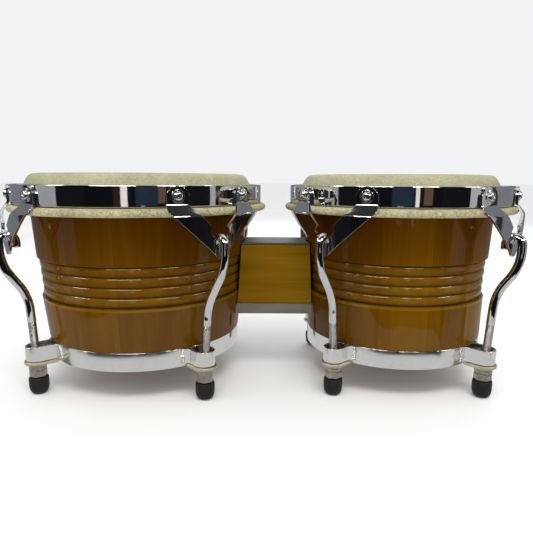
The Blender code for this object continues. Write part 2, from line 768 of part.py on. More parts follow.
def build_backing_plate(drum, material, axis):
    """Curved steel plate inside the shell that spreads the load of the two bolts."""
    mesh = bmesh.new()
    facing = 0.0 if drum.inward > 0.0 else math.pi
    layers = []
    for step in (-1, 0, 1):
        angle = facing + math.tau * step / RING_SEGMENTS
        layer = []
        for height in (BACKING_BOTTOM, BACKING_TOP):
            outer = inner_wall(drum, height) - FIT_GAP
            for radius in (outer - BACKING_THICKNESS, outer):
                place = (radius * math.cos(angle), radius * math.sin(angle), height)
                layer.append(mesh.verts.new(place))
        layers.append(layer)
    for first, second in zip(layers, layers[1:]):
        for here, there in ((0, 1), (1, 3), (3, 2), (2, 0)):
            mesh.faces.new((first[here], first[there], second[there], second[here]))
    for layer in (layers[0], layers[-1]):
        mesh.faces.new((layer[0], layer[1], layer[3], layer[2]))
    plate = object_from(drum.name + "_backing_plate", mesh)
    tools = []
    for height in BOLT_HEIGHTS.values():
        matrix = Matrix.Translation((0.0, 0.0, height))
        matrix = matrix @ Matrix.Rotation(drum.inward * math.pi / 2.0, 4, "Y")
        reach = inner_wall(drum, height)
        tools.append(cylinder_tool(BOLT_HOLE, reach - 0.008, reach + 0.004, matrix))
    combine(plate, tools, "DIFFERENCE")
    return finish(plate, material, axis)


def build_bolt(drum, level, height, material):
    """Round-headed bolt from inside the shell into the block."""
    seat = bolt_seat(drum, height)
    origin = Vector((AXES[drum.name] + drum.inward * seat, 0.0, height))
    length = bolt_tip(drum, height) - seat
    profile = (
        (0.0, -BOLT_HEAD_HEIGHT),
        (BOLT_HEAD_RADIUS * 0.6, -BOLT_HEAD_HEIGHT * 0.85),
        (BOLT_HEAD_RADIUS, -BOLT_HEAD_HEIGHT * 0.25),
        (BOLT_HEAD_RADIUS, 0.0),
        (BOLT_RADIUS, 0.0),
        (BOLT_RADIUS, length - 0.001),
        (BOLT_RADIUS * 0.7, length),
        (0.0, length),
    )
    mesh = lathe(profile, BAR_SEGMENTS)
    mesh.transform(Matrix.Rotation(drum.inward * math.pi / 2.0, 4, "Y"))
    bolt = object_from(f"{drum.name}_block_bolt_{level}", mesh)
    return finish(bolt, material, origin)


# ------------------------------------------------------------------ assembly
def build_drum(drum, materials):
    axis = Vector((AXES[drum.name], 0.0, 0.0))
    hoop_slide = make_empty(drum.name + "_hoop_slide", axis)
    build_shell(drum, materials["wood"], axis)
    build_head(drum, materials["skin"], axis)
    build_bottom_ring(drum, materials["satin_steel"], axis)
    build_flesh_hoop(drum, materials["skin_wrap"], axis, hoop_slide)
    build_rim(drum, materials["chrome"], axis, hoop_slide)
    build_backing_plate(drum, materials["zinc_steel"], axis)
    for level, height in BOLT_HEIGHTS.items():
        build_bolt(drum, level, height, materials["zinc_steel"])
    for lug, claw, azimuth, radius in zip(LUG_NAMES, drum.claws, drum.lugs, drum.rods):
        turn = lug_turn(azimuth)
        foot_place = axis + Vector((math.cos(turn), math.sin(turn), 0.0)) * radius
        build_claw(drum, lug, claw, materials["claw_steel"], axis, hoop_slide)
        build_rod(drum, lug, claw, azimuth, radius, materials["rod_steel"], axis, hoop_slide)
        build_lug_plate(drum, lug, azimuth, radius, materials["plated_steel"], axis)
        nut = build_nut(drum, lug, foot_place, turn, materials["nut_steel"])
        build_foot(drum, lug, foot_place, turn, materials["rubber"], nut)


def make_materials():
    return {
        "wood": make_material("lacquered_wood", (0.19, 0.070, 0.010), 0.0, 0.22, 0.6),
        "block_wood": make_material("block_wood", (0.20, 0.095, 0.014), 0.0, 0.38, 0.2),
        "skin": make_material("skin", (0.62, 0.57, 0.40), 0.0, 0.65),
        "skin_wrap": make_material("skin_wrap", (0.52, 0.48, 0.31), 0.0, 0.75),
        "chrome": make_material("chrome", (0.80, 0.81, 0.83), 1.0, 0.06),
        "claw_steel": make_material("claw_chrome", (0.66, 0.67, 0.69), 1.0, 0.14),
        "rod_steel": make_material("rod_chrome", (0.74, 0.75, 0.77), 1.0, 0.10),
        "satin_steel": make_material("satin_chrome", (0.70, 0.71, 0.72), 1.0, 0.30),
        "plated_steel": make_material("yellow_zinc", (0.62, 0.59, 0.46), 1.0, 0.42),
        "nut_steel": make_material("nut_steel", (0.50, 0.46, 0.40), 1.0, 0.38),
        "zinc_steel": make_material("zinc_steel", (0.52, 0.53, 0.55), 1.0, 0.45),
        "plate_steel": make_material("grey_plate", (0.42, 0.42, 0.41), 0.8, 0.50),
        "rubber": make_material("black_rubber", (0.012, 0.012, 0.013), 0.0, 0.62),
    }


def main():
    clear_scene()
    materials = make_materials()
    for drum in (LEFT, RIGHT):
        build_drum(drum, materials)
    build_block(materials["block_wood"])
    build_top_plate(materials["plate_steel"])
    build_channel(materials["plate_steel"])


main()
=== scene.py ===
"""Looks of a pair of bongo drums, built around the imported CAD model."""

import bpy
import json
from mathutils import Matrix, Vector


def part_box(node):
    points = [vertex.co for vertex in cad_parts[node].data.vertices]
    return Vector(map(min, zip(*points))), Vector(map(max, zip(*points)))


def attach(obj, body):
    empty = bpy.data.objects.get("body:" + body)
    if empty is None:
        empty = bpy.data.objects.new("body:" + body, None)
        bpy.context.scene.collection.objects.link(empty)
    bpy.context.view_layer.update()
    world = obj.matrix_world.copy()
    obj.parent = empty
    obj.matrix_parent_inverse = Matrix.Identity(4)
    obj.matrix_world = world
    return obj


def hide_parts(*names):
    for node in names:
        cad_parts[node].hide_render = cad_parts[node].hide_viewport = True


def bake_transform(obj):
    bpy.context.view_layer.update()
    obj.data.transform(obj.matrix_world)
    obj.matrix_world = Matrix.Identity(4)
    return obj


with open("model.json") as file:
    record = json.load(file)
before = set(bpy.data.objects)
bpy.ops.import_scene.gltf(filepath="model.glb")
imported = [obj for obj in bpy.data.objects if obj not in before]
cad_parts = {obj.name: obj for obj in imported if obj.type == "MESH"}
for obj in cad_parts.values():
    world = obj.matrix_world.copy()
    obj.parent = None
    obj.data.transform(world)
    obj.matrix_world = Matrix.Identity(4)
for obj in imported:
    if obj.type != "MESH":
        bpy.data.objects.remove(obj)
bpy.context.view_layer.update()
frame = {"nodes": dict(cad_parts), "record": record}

import json
import math
import random

import bmesh
import bpy
from mathutils import Matrix, Vector, noise

# ---------------- names, azimuths in degrees and sizes in metres
ROOT = "drums"
LUG_NAMES = ("front_left", "front_right", "back_right", "back_left")
CLAW_AZIMUTHS = {"left": (-50.2, 42.8, 132.5, -139.4), "right": (-44.6, 45.0, 135.0, -135.0)}


def heights(node):
    """Lowest and highest level of a CAD node; the two drums share their levels."""
    low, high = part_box(node)
    return low[2], high[2]


SHELL_BOTTOM, SHELL_TOP = heights("left_shell")
RING_BOTTOM, RING_TOP = heights("left_bottom_ring")
RIM_BOTTOM, RIM_TOP = heights("left_rim")
HEAD_TOP = heights("left_head")[1]
HOOP_BOTTOM, HOOP_TOP = heights("left_flesh_hoop")
CLAW_BOTTOM, CLAW_TOP = heights("left_claw_front_left")
PLATE_BOTTOM, PLATE_TOP = heights("left_lug_plate_front_left")
NUT_BOTTOM, NUT_TOP = heights("left_nut_front_left")
FOOT_TOP = heights("left_foot_front_left")[1]

# shells: outer radii at six heights, the carved band and the rebate for the bottom ring
REBATE_TOP = RING_TOP + 0.0002
GROOVES_BOTTOM, GROOVES_TOP = 0.0825, 0.1165
WALL_TOP = 0.1820
WALL_HEIGHTS = (SHELL_BOTTOM, REBATE_TOP, GROOVES_BOTTOM, GROOVES_TOP, 0.1560, WALL_TOP)
WALLS = {
    "left": (0.0890, 0.0901, 0.0941, 0.0963, 0.0987, 0.1000),
    "right": (0.0817, 0.0823, 0.0832, 0.0848, 0.0867, 0.0872),
}
WALL_THICKNESS_BOTTOM, WALL_THICKNESS_TOP = 0.0095, 0.0110
BEAD_COUNT = 4
BEAD_PITCH = (GROOVES_TOP - GROOVES_BOTTOM) / BEAD_COUNT
VALLEY_DEPTH, CREST_DEPTH = 0.0034, 0.0017

# heads, hoops and rims
HEAD_INSETS = {"left": 0.0179, "right": 0.0192}
SKIN = 0.0014
ROLL_WIDTH, ROLL_HALF_WIDTH, ROLL_HALF_HEIGHT = 0.0108, 0.0053, 0.0034
RIM_THICKNESS = 0.0028

# claws and their rivets
CLAW_THICKNESS = 0.0022
TAB_CENTRE, TAB_HALF = 0.0316, 0.0087
CROTCH = 0.1364
RIVET_HEIGHT = 0.1733
WASHER_RADIUS, RIVET_RADIUS, DOME_HEIGHT = 0.0052, 0.0037, 0.0022

# hooked rods
ROD_RADIUS, THREAD_RADIUS, THREAD_CUT = 0.0036, 0.00355, 0.00038
THREAD_BOTTOM, THREAD_TOP, THREAD_PITCH = 0.0080, 0.0650, 0.00125
SHANK_LEAN, SHANK_TOP = 0.0030, 0.0880
HOOK_OUT, HOOK_HEIGHT, HOOK_BEND, HOOK_TIP = 0.0073, 0.1342, 0.0064, 0.1300
OFFSET_TOP, OFFSET_SLANT, OFFSET_BEND = 0.1170, 33.0, 0.040

# ears, lug plates, nuts and feet
RING_THICKNESS = 0.0017
EAR_BOTTOM, EAR_TOP = 0.0308, 0.0437
EAR_HALF, EAR_STRIP, EAR_FOOT = 0.0090, 0.0019, 0.0125
PLATE_HALF = 0.0105
NUT_WAIST, NUT_FLANGE, NUT_ACROSS_FLATS = 0.0218, 0.0249, 0.0130
NUT_BORE, FLANGE_RADIUS = 0.0042, 0.0075

# gaps between the centre block, or its top plate, and the shells
BLOCK_GAPS = (0.0006, 0.0013)
TOP_PLATE_GAPS = (0.0009, 0.0013)


# ---------------- mesh helpers
def new_object(name, mesh, smooth_angle=180.0, origin=(0.0, 0.0, 0.0), turn=0.0):
    """Object from a bmesh, with sharp edges above the angle, turned about the vertical."""
    bmesh.ops.recalc_face_normals(mesh, faces=mesh.faces[:])
    data = bpy.data.meshes.new(name)
    mesh.to_mesh(data)
    mesh.free()
    for face in data.polygons:
        face.use_smooth = True
    if smooth_angle < 180.0:
        data.set_sharp_from_angle(angle=math.radians(smooth_angle))
    item = bpy.data.objects.new(name, data)
    item.location = origin
    item.rotation_euler = (0.0, 0.0, turn)
    bpy.context.scene.collection.objects.link(item)
    return item


def bevel(item, width, segments, angle):
    modifier = item.modifiers.new("soft_edges", "BEVEL")
    modifier.width = width
    modifier.segments = segments
    modifier.limit_method = "ANGLE"
    modifier.angle_limit = math.radians(angle)
    modifier.harden_normals = True


def interpolate(value, stations):
    """Straight-line value between (place, value) stations, level beyond the ends."""
    if value <= stations[0][0]:
        return stations[0][1]
    for (start, low), (end, high) in zip(stations, stations[1:]):
        if value <= end:
            return low + (high - low) * (value - start) / (end - start)
    return stations[-1][1]


def turns(count):
    """Equal steps of angle round a circle."""
    return [math.tau * step / count for step in range(count)]


def lathe(profile, segments=160, shift=None):
    """Revolve a closed (radius, height) outline; shift(angle, radius, height) may displace it."""
    mesh = bmesh.new()
    rings = []
    for radius, height in profile:
        if radius < 1e-6:
            rings.append([mesh.verts.new((0.0, 0.0, height))] * segments)
            continue
        ring = []
        for angle in turns(segments):
            r, z = (radius, height) if shift is None else shift(angle, radius, height)
            ring.append(mesh.verts.new((r * math.cos(angle), r * math.sin(angle), z)))
        rings.append(ring)
    for first, second in zip(rings, rings[1:] + rings[:1]):
        for step in range(segments):
            after = (step + 1) % segments
            corners = list(dict.fromkeys((first[step], first[after], second[after], second[step])))
            if len(corners) > 2:
                mesh.faces.new(corners)
    return mesh


def round_corners(points, radius, steps, closed=True):
    """Fillet each corner of an outline of 2-D points."""
    out = []
    count = len(points)
    for index, point in enumerate(points):
        if not closed and index in (0, count - 1):
            out.append(point)
            continue
        corner = Vector(point)
        before = Vector(points[index - 1]) - corner
        after = Vector(points[(index + 1) % count]) - corner
        reach = min(radius, before.length * 0.45, after.length * 0.45)
        start = corner + before.normalized() * reach
        end = corner + after.normalized() * reach
        for step in range(steps + 1):
            t = step / steps
            a = start.lerp(corner, t)
            b = corner.lerp(end, t)
            out.append(tuple(a.lerp(b, t)))
    return out


def arc(cx, cy, radius, start, end, steps):
    """Points along an arc, with its ends in degrees."""
    angles = [math.radians(start + (end - start) * step / steps) for step in range(steps + 1)]
    return [(cx + radius * math.cos(angle), cy + radius * math.sin(angle)) for angle in angles]


def tube(rings):
    """Solid skinned over equal rings of points, with both of its ends closed."""
    mesh = bmesh.new()
    rings = [[mesh.verts.new(point) for point in ring] for ring in rings]
    count = len(rings[0])
    for first, second in zip(rings, rings[1:]):
        for step in range(count):
            after = (step + 1) % count
            mesh.faces.new((first[step], first[after], second[after], second[step]))
    mesh.faces.new(rings[0])
    mesh.faces.new(rings[-1])
    return mesh


def prism(outline, bottom, top):
    """Upright solid with an (x, y) outline."""
    mesh = bmesh.new()
    lower = [mesh.verts.new((x, y, bottom)) for x, y in outline]
    upper = [mesh.verts.new((x, y, top)) for x, y in outline]
    mesh.faces.new(lower)
    mesh.faces.new(upper)
    for step in range(len(outline)):
        after = (step + 1) % len(outline)
        mesh.faces.new((lower[step], lower[after], upper[after], upper[step]))
    return mesh


# ---------------- material helpers
class Shader:
    """A Principled material with short ways to add and wire its nodes."""

    def __init__(self, name, roughness=0.5, metallic=0.0, specular=0.5, coat=0.0, coat_roughness=0.03):
        self.material = bpy.data.materials.new(name)
        self.material.use_nodes = True
        self.tree = self.material.node_tree
        self.out = self.tree.nodes["Principled BSDF"]
        self.set(self.out, roughness=roughness, metallic=metallic, specular_ior_level=specular,
                 coat_weight=coat, coat_roughness=coat_roughness)
        self.coords = self.node("TexCoord").outputs["Object"]

    def put(self, value, socket):
        """Wire a socket in, or set a plain value."""
        if isinstance(value, bpy.types.NodeSocket):
            self.tree.links.new(value, socket)
        else:
            socket.default_value = value

    def set(self, node, **values):
        for name, value in values.items():
            label = name.replace("_", " ").title().replace("Ior", "IOR")
            self.put(value, node.inputs[label])

    def node(self, kind, **values):
        node = self.tree.nodes.new("ShaderNode" + kind)
        self.set(node, **values)
        return node

    def math(self, operation, first, second=0.0, clamp=False):
        node = self.node("Math")
        node.operation = operation
        node.use_clamp = clamp
        self.put(first, node.inputs[0])
        self.put(second, node.inputs[1])
        return node.outputs[0]

    def weighted_sum(self, *terms):
        """Sum of (value, weight) pairs."""
        parts = [self.math("MULTIPLY", value, weight) for value, weight in terms]
        total = parts[0]
        for part in parts[1:]:
            total = self.math("ADD", total, part)
        return total

    def between(self, value, low, high):
        """One inside the range and nought outside it."""
        above = self.math("GREATER_THAN", value, low)
        return self.math("MULTIPLY", above, self.math("LESS_THAN", value, high))

    def stretch(self, scale):
        return self.node("Mapping", vector=self.coords, scale=scale).outputs[0]

    def noise(self, scale, detail=4.0, roughness=0.55, distortion=0.0, vector=None):
        vector = self.coords if vector is None else vector
        node = self.node("TexNoise", vector=vector, scale=scale, detail=detail, roughness=roughness,
                         distortion=distortion)
        return node.outputs["Fac"]

    def remap(self, value, low, high, to_low=0.0, to_high=1.0):
        node = self.node("MapRange", value=value, from_min=low, from_max=high, to_min=to_low, to_max=to_high)
        return node.outputs["Result"]

    def ramp(self, value, stops):
        node = self.node("ValToRGB", fac=value)
        elements = node.color_ramp.elements
        while len(elements) < len(stops):
            elements.new(0.5)
        for element, (place, colour) in zip(elements, stops):
            element.position = place
            element.color = (*colour, 1.0)
        return node.outputs["Color"]

    def mix(self, factor, first, second, blend="MIX"):
        node = self.node("Mix", factor=factor)
        node.data_type = "RGBA"
        node.blend_type = blend
        for value, socket in ((first, node.inputs[6]), (second, node.inputs[7])):
            if isinstance(value, tuple):
                value = (*value, 1.0)
            self.put(value, socket)
        return node.outputs[2]

    def bump(self, height, strength, distance):
        node = self.node("Bump", height=height, strength=strength, distance=distance)
        self.set(self.out, normal=node.outputs["Normal"])

    def colour(self, value):
        self.set(self.out, base_color=value)

    def rough(self, value):
        self.set(self.out, roughness=value)


# ---------------- materials
def bead_painted_light_and_coat(s, colour, height):
    """Paint light onto the carved band: gold painted highlights on the bead crests and along the edge below
    the band, painted shade on the bead undersides and in the valleys.
    """
    level = s.math("DIVIDE", s.math("SUBTRACT", height, GROOVES_BOTTOM), BEAD_PITCH)
    share = s.math("FRACT", level)
    inside = s.between(level, -0.06, BEAD_COUNT + 0.06)
    # painted highlight: the upper part of each bead is lightened to gold, broken up by noise
    patchy = s.remap(s.noise(60.0, 3.0), 0.3, 0.7, 0.15, 0.65)
    crest_highlight = s.math("MULTIPLY", s.math("MULTIPLY", patchy, s.remap(share, 0.15, 0.75)), inside)
    colour = s.mix(crest_highlight, colour, (0.235, 0.118, 0.0060))
    # painted shade on the underside of each bead
    under = s.math("MULTIPLY", s.remap(share, 0.0, 0.30, 0.45, 0.0), inside)
    colour = s.mix(under, colour, (0.060, 0.022, 0.0008))
    # painted shade in the valleys between the beads
    valley = s.remap(s.math("ABSOLUTE", s.math("SUBTRACT", share, 0.5)), 0.36, 0.50, 0.0, 0.45)
    colour = s.mix(s.math("MULTIPLY", valley, inside), colour, (0.035, 0.012, 0.0006))
    # painted highlight just below the carved band
    lip_highlight = s.between(level, -0.32, -0.06)
    colour = s.mix(s.math("MULTIPLY", lip_highlight, 0.5), colour, (0.235, 0.125, 0.0060))
    # the lacquer is thicker on the upper half of each bead than on its underside
    beads = s.between(level, -0.2, BEAD_COUNT + 0.2)
    crown = s.remap(share, 0.35, 0.60, -0.28, 0.50)
    s.set(s.out, coat_weight=s.math("ADD", s.math("MULTIPLY", beads, crown), 0.50))
    return colour


def stave_wood(name, staves, seed):
    """Amber lacquer over upright staves, with painted shade darkening it towards the top."""
    s = Shader(name, specular=0.0, coat_roughness=0.04)
    split = s.node("SeparateXYZ", vector=s.coords)
    angle = s.math("ARCTAN2", split.outputs["Y"], split.outputs["X"])
    place = s.math("ADD", s.math("MULTIPLY", angle, staves / math.tau), 0.31 + seed)
    white = s.node("TexWhiteNoise")
    white.noise_dimensions = "1D"
    s.set(white, w=s.math("FLOOR", place))
    tone = s.remap(white.outputs["Value"], 0.0, 1.0, -0.16, 0.16)
    grain = s.noise(38.0, 5.0, 0.6, 0.6, s.stretch((1.0, 1.0, 0.09)))
    fine = s.noise(420.0, 3.0, 0.6, 0.0, s.stretch((1.0, 1.0, 0.035)))
    cloud = s.noise(9.0, 2.0, 0.5, 0.0, s.stretch((1.0, 1.0, 0.7)))
    figure = s.weighted_sum((grain, 0.62), (fine, 0.16), (cloud, 0.25))
    colour = s.ramp(s.math("ADD", figure, tone), (
        (0.16, (0.068, 0.022, 0.0004)),
        (0.42, (0.108, 0.040, 0.0009)),
        (0.62, (0.150, 0.063, 0.0018)),
        (0.90, (0.205, 0.100, 0.0040)),
    ))
    edge = s.math("ABSOLUTE", s.math("SUBTRACT", s.math("FRACT", place), 0.5))
    seam = s.remap(edge, 0.488, 0.5, 0.0, 0.45)
    colour = s.mix(seam, colour, (0.06, 0.020, 0.002))
    colour = bead_painted_light_and_coat(s, colour, split.outputs["Z"])
    # painted shade: the colour is darkened towards the top of the wall
    shade = s.ramp(s.remap(split.outputs["Z"], 0.0, 0.19), (
        (0.38, (0.94, 1.0, 1.0)),
        (0.74, (0.72, 0.66, 0.60)),
    ))
    s.colour(s.mix(1.0, colour, shade, "MULTIPLY"))
    s.rough(s.remap(grain, 0.2, 0.8, 0.42, 0.60))
    ripple = s.noise(26.0, 2.0, 0.5)
    s.bump(s.math("ADD", s.math("MULTIPLY", fine, 0.3), ripple), 0.10, 0.0012)
    return s.material


def block_wood():
    """Thin satin lacquer over wood whose grain runs across the pair."""
    s = Shader("block_wood_satin", specular=0.0, coat=0.12, coat_roughness=0.16)
    grain = s.noise(46.0, 6.0, 0.62, 0.8, s.stretch((0.07, 1.0, 1.0)))
    fine = s.noise(500.0, 3.0, 0.6, 0.0, s.stretch((0.03, 1.0, 1.0)))
    cloud = s.noise(16.0, 2.0)
    s.colour(s.ramp(s.weighted_sum((grain, 0.6), (fine, 0.2), (cloud, 0.25)), (
        (0.22, (0.085, 0.040, 0.0008)),
        (0.50, (0.180, 0.090, 0.0020)),
        (0.82, (0.320, 0.180, 0.0070)),
    )))
    s.rough(s.remap(grain, 0.2, 0.8, 0.36, 0.55))
    s.bump(s.math("ADD", fine, grain), 0.16, 0.0004)
    return s.material


def bare_wood():
    """Raw wood of the shells' inner faces and bearing edges."""
    s = Shader("bare_inner_wood", roughness=0.75, specular=0.25)
    grain = s.noise(60.0, 6.0, 0.6, 0.5, s.stretch((1.0, 1.0, 0.06)))
    s.colour(s.ramp(grain, ((0.25, (0.26, 0.15, 0.065)), (0.75, (0.46, 0.30, 0.15)))))
    s.bump(grain, 0.3, 0.0005)
    return s.material


def skin(name, light, dark, grit_amount, grit_scale, relief):
    """Rawhide: fine grit, fibres and wide blotches between a dark and a light tint."""
    s = Shader(name, specular=0.35)
    sand = s.noise(grit_scale, 3.0, 0.8)
    blotch = s.noise(34.0, 4.0, 0.6)
    fibre = s.noise(190.0, 4.0, 0.65, 1.5)
    mottle = s.weighted_sum((sand, grit_amount), (blotch, 0.35), (fibre, 0.30))
    middle = 0.5 * (grit_amount + 0.65)
    s.colour(s.ramp(mottle, (
        (middle - 0.22, dark),
        (middle, tuple(0.5 * (a + b) for a, b in zip(light, dark))),
        (middle + 0.20, light),
    )))
    s.rough(s.remap(blotch, 0.2, 0.8, 0.50, 0.74))
    s.bump(s.math("ADD", sand, s.math("MULTIPLY", fibre, 1.5)), relief, 0.0004)
    return s.material


def polished(name, tint, roughness, wobble, smudge, scratch=0.0):
    """Chromed steel with faint smears and a slight waviness."""
    s = Shader(name, metallic=1.0)
    smear = s.noise(55.0, 5.0, 0.62, 0.8)
    hair = s.noise(700.0, 2.0, 0.6, 0.0, s.stretch((1.0, 1.0, 0.12)))
    marks = s.weighted_sum((smear, smudge), (hair, scratch))
    s.rough(s.math("ADD", marks, roughness - 0.4 * (smudge + scratch), clamp=True))
    dim = tuple(0.86 * part for part in tint)
    s.colour(s.mix(s.remap(smear, 0.35, 0.75), tint, dim))
    s.bump(s.noise(14.0, 2.0, 0.5), 0.35, wobble)
    return s.material


def brushed(name, tint, dark, roughness, direction, relief=0.25):
    """Satin metal, its fine lines drawn out along each axis where the direction is small."""
    s = Shader(name, metallic=1.0)
    lines = s.noise(520.0, 4.0, 0.7, 0.0, s.stretch(direction))
    cloud = s.noise(70.0, 5.0, 0.65)
    s.colour(s.ramp(s.weighted_sum((lines, 0.45), (cloud, 0.55)), ((0.30, dark), (0.66, tint))))
    s.rough(s.remap(cloud, 0.25, 0.75, roughness - 0.07, roughness + 0.08))
    s.bump(lines, relief, 0.00015)
    return s.material


def rubber():
    """Black rubber with a little dust."""
    s = Shader("foot_rubber", specular=0.28)
    grit = s.noise(600.0, 3.0, 0.7)
    dust = s.noise(85.0, 5.0, 0.65)
    s.colour(s.ramp(dust, ((0.35, (0.0035, 0.0035, 0.0038)), (0.78, (0.014, 0.0135, 0.013)))))
    s.rough(s.remap(dust, 0.2, 0.8, 0.42, 0.68))
    s.bump(grit, 0.25, 0.00025)
    return s.material


EVEN = (1.0, 1.0, 1.0)
ALONG_X = (0.05, 1.0, 1.0)
AROUND = (0.4, 0.4, 1.0)
UPRIGHT = (1.0, 1.0, 0.12)

MATERIALS = {
    "left_wood": stave_wood("left_stave_lacquer", 14, 0.2),
    "right_wood": stave_wood("right_stave_lacquer", 13, 3.7),
    "bare_wood": bare_wood(),
    "block": block_wood(),
    "skin": skin("head_skin", (0.50, 0.485, 0.31), (0.235, 0.226, 0.132), 0.75, 760.0, 0.25),
    "wrap": skin("hoop_rawhide", (0.56, 0.52, 0.31), (0.150, 0.132, 0.062), 1.00, 640.0, 0.55),
    "rim": polished("rim_chrome", (0.80, 0.81, 0.84), 0.045, 0.0006, 0.03),
    "claw": polished("claw_chrome_plate", (0.72, 0.725, 0.735), 0.075, 0.0006, 0.07, 0.03),
    "rod": polished("rod_chrome_bar", (0.80, 0.80, 0.81), 0.06, 0.0002, 0.05),
    "thread": brushed("rod_thread_steel", (0.624, 0.624, 0.616), (0.36, 0.36, 0.35), 0.30, EVEN),
    "ring": brushed("ring_satin_chrome", (0.85, 0.855, 0.85), (0.75, 0.755, 0.75), 0.15, AROUND, 0.06),
    "zinc": brushed("lug_yellow_zinc", (0.72, 0.69, 0.54), (0.44, 0.41, 0.30), 0.42, EVEN),
    "nut": brushed("nut_plated", (0.52, 0.49, 0.43), (0.20, 0.18, 0.15), 0.34, UPRIGHT, 0.6),
    "top_plate": brushed("grey_top_plate", (0.235, 0.232, 0.220), (0.165, 0.162, 0.152), 0.46, ALONG_X),
    "plate": brushed("grey_steel_plate", (0.36, 0.335, 0.298), (0.265, 0.246, 0.217), 0.48, ALONG_X),
    "bolt": brushed("inner_zinc_bolt", (0.58, 0.59, 0.62), (0.40, 0.41, 0.43), 0.42, EVEN),
    "rubber": rubber(),
}


def paint(item, *names):
    item.data.materials.clear()
    for name in names:
        item.data.materials.append(MATERIALS[name])


def finish_piece(item, material, body, node=None):
    """Paint a piece, tie it to its body and hide the CAD node it stands in for."""
    paint(item, material)
    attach(item, body)
    if node:
        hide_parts(node)


# ---------------- drum geometry
class Drum:
    """Radii, axis and lug places of one drum, taken from the CAD boxes and joints."""

    def __init__(self, name):
        self.name = name
        low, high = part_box(name + "_rim")
        self.x = (low[0] + high[0]) / 2.0
        self.rim = (high[0] - low[0]) / 2.0
        self.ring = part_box(name + "_bottom_ring")[1][1]
        self.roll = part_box(name + "_flesh_hoop")[1][1]
        self.head_corner = self.rim - HEAD_INSETS[name]
        self.walls = list(zip(WALL_HEIGHTS, WALLS[name]))
        self.origin = Vector((self.x, 0.0, 0.0))
        self.hoop = name + "_hoop"
        self.lugs = []
        joints = {joint["name"]: joint for joint in frame["record"]["behaviour"]["joints"]}
        for lug, azimuth in zip(LUG_NAMES, CLAW_AZIMUTHS[name]):
            offset = Vector(joints[f"{name}_nut_turn_{lug}"]["pos_m"]) - self.origin
            reach = math.hypot(offset.x, offset.y)
            self.lugs.append((lug, math.radians(azimuth - 90.0), math.atan2(offset.y, offset.x), reach))

    def wall(self, height):
        """Outer radius of the shell."""
        return interpolate(height, self.walls)

    def inner(self, height):
        """Inner radius of the shell."""
        low = self.wall(SHELL_BOTTOM) - WALL_THICKNESS_BOTTOM
        high = self.wall(WALL_TOP) - WALL_THICKNESS_TOP
        return interpolate(height, ((SHELL_BOTTOM, low), (WALL_TOP, high)))


def carved_band(drum):
    """Outline of the four beads, with a sharp valley below each of them and above the last."""
    profile = []
    steps = 12
    for bead in range(BEAD_COUNT):
        for step in range(steps):
            share = step / steps
            height = GROOVES_BOTTOM + BEAD_PITCH * (bead + share)
            crown = math.sin(math.pi * share) ** 0.55 if share > 0.0 else 0.0
            depth = VALLEY_DEPTH - (VALLEY_DEPTH - CREST_DEPTH) * crown
            profile.append((drum.wall(height) - depth, height))
    top_radius = drum.wall(GROOVES_TOP)
    profile.append((top_radius - VALLEY_DEPTH, GROOVES_TOP - 0.0001))
    profile.append((top_radius - 0.0007, GROOVES_TOP + 0.0004))
    return profile


def plain_wall(drum, bottom, top, steps):
    """Outer face of the shell, in rows close enough for the lacquer to look smooth."""
    levels = [bottom + (top - bottom) * step / steps for step in range(steps + 1)]
    return [(drum.wall(level), level) for level in levels]


def build_shell(drum):
    rebate = drum.ring - RING_THICKNESS - 0.0003
    foot = REBATE_TOP + 0.0004
    lower = round_corners([(rebate, SHELL_BOTTOM), (rebate, REBATE_TOP), (drum.wall(foot), foot)],
                          0.0003, 1, closed=False)
    outer = lower + plain_wall(drum, foot, GROOVES_BOTTOM - 0.0024, 10)[1:]
    # rows close to the band's edges keep its sharp bends out of the smooth wall's normals
    outer += [(drum.wall(GROOVES_BOTTOM - drop), GROOVES_BOTTOM - drop) for drop in (0.0014, 0.0009)]
    outer += carved_band(drum)
    outer += [(drum.wall(GROOVES_TOP + rise), GROOVES_TOP + rise) for rise in (0.0012, 0.0016)]
    outer += plain_wall(drum, GROOVES_TOP + 0.0026, WALL_TOP, 12)
    corner = drum.head_corner
    edge = [(corner + 0.0010, SHELL_TOP - 0.0026), (corner - 0.0004, SHELL_TOP - 0.0008),
            (corner - 0.0030, SHELL_TOP), (corner - 0.0057, SHELL_TOP)]
    inside = [(drum.inner(WALL_TOP), WALL_TOP), (drum.inner(0.1), 0.1),
              (drum.inner(SHELL_BOTTOM), SHELL_BOTTOM + 0.0004)]
    shell = new_object(drum.name + "_shell_staves", lathe(outer + edge + inside), 50.0, drum.origin)
    paint(shell, drum.name + "_wood", "bare_wood")
    for face in shell.data.polygons:
        radius, level = math.hypot(face.center.x, face.center.y), face.center.z
        on_edge = level > SHELL_TOP - 0.0015 or level < SHELL_BOTTOM + 0.0003
        if on_edge or radius < drum.inner(level) + 0.003:
            face.material_index = 1
    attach(shell, ROOT)
    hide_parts(drum.name + "_shell")


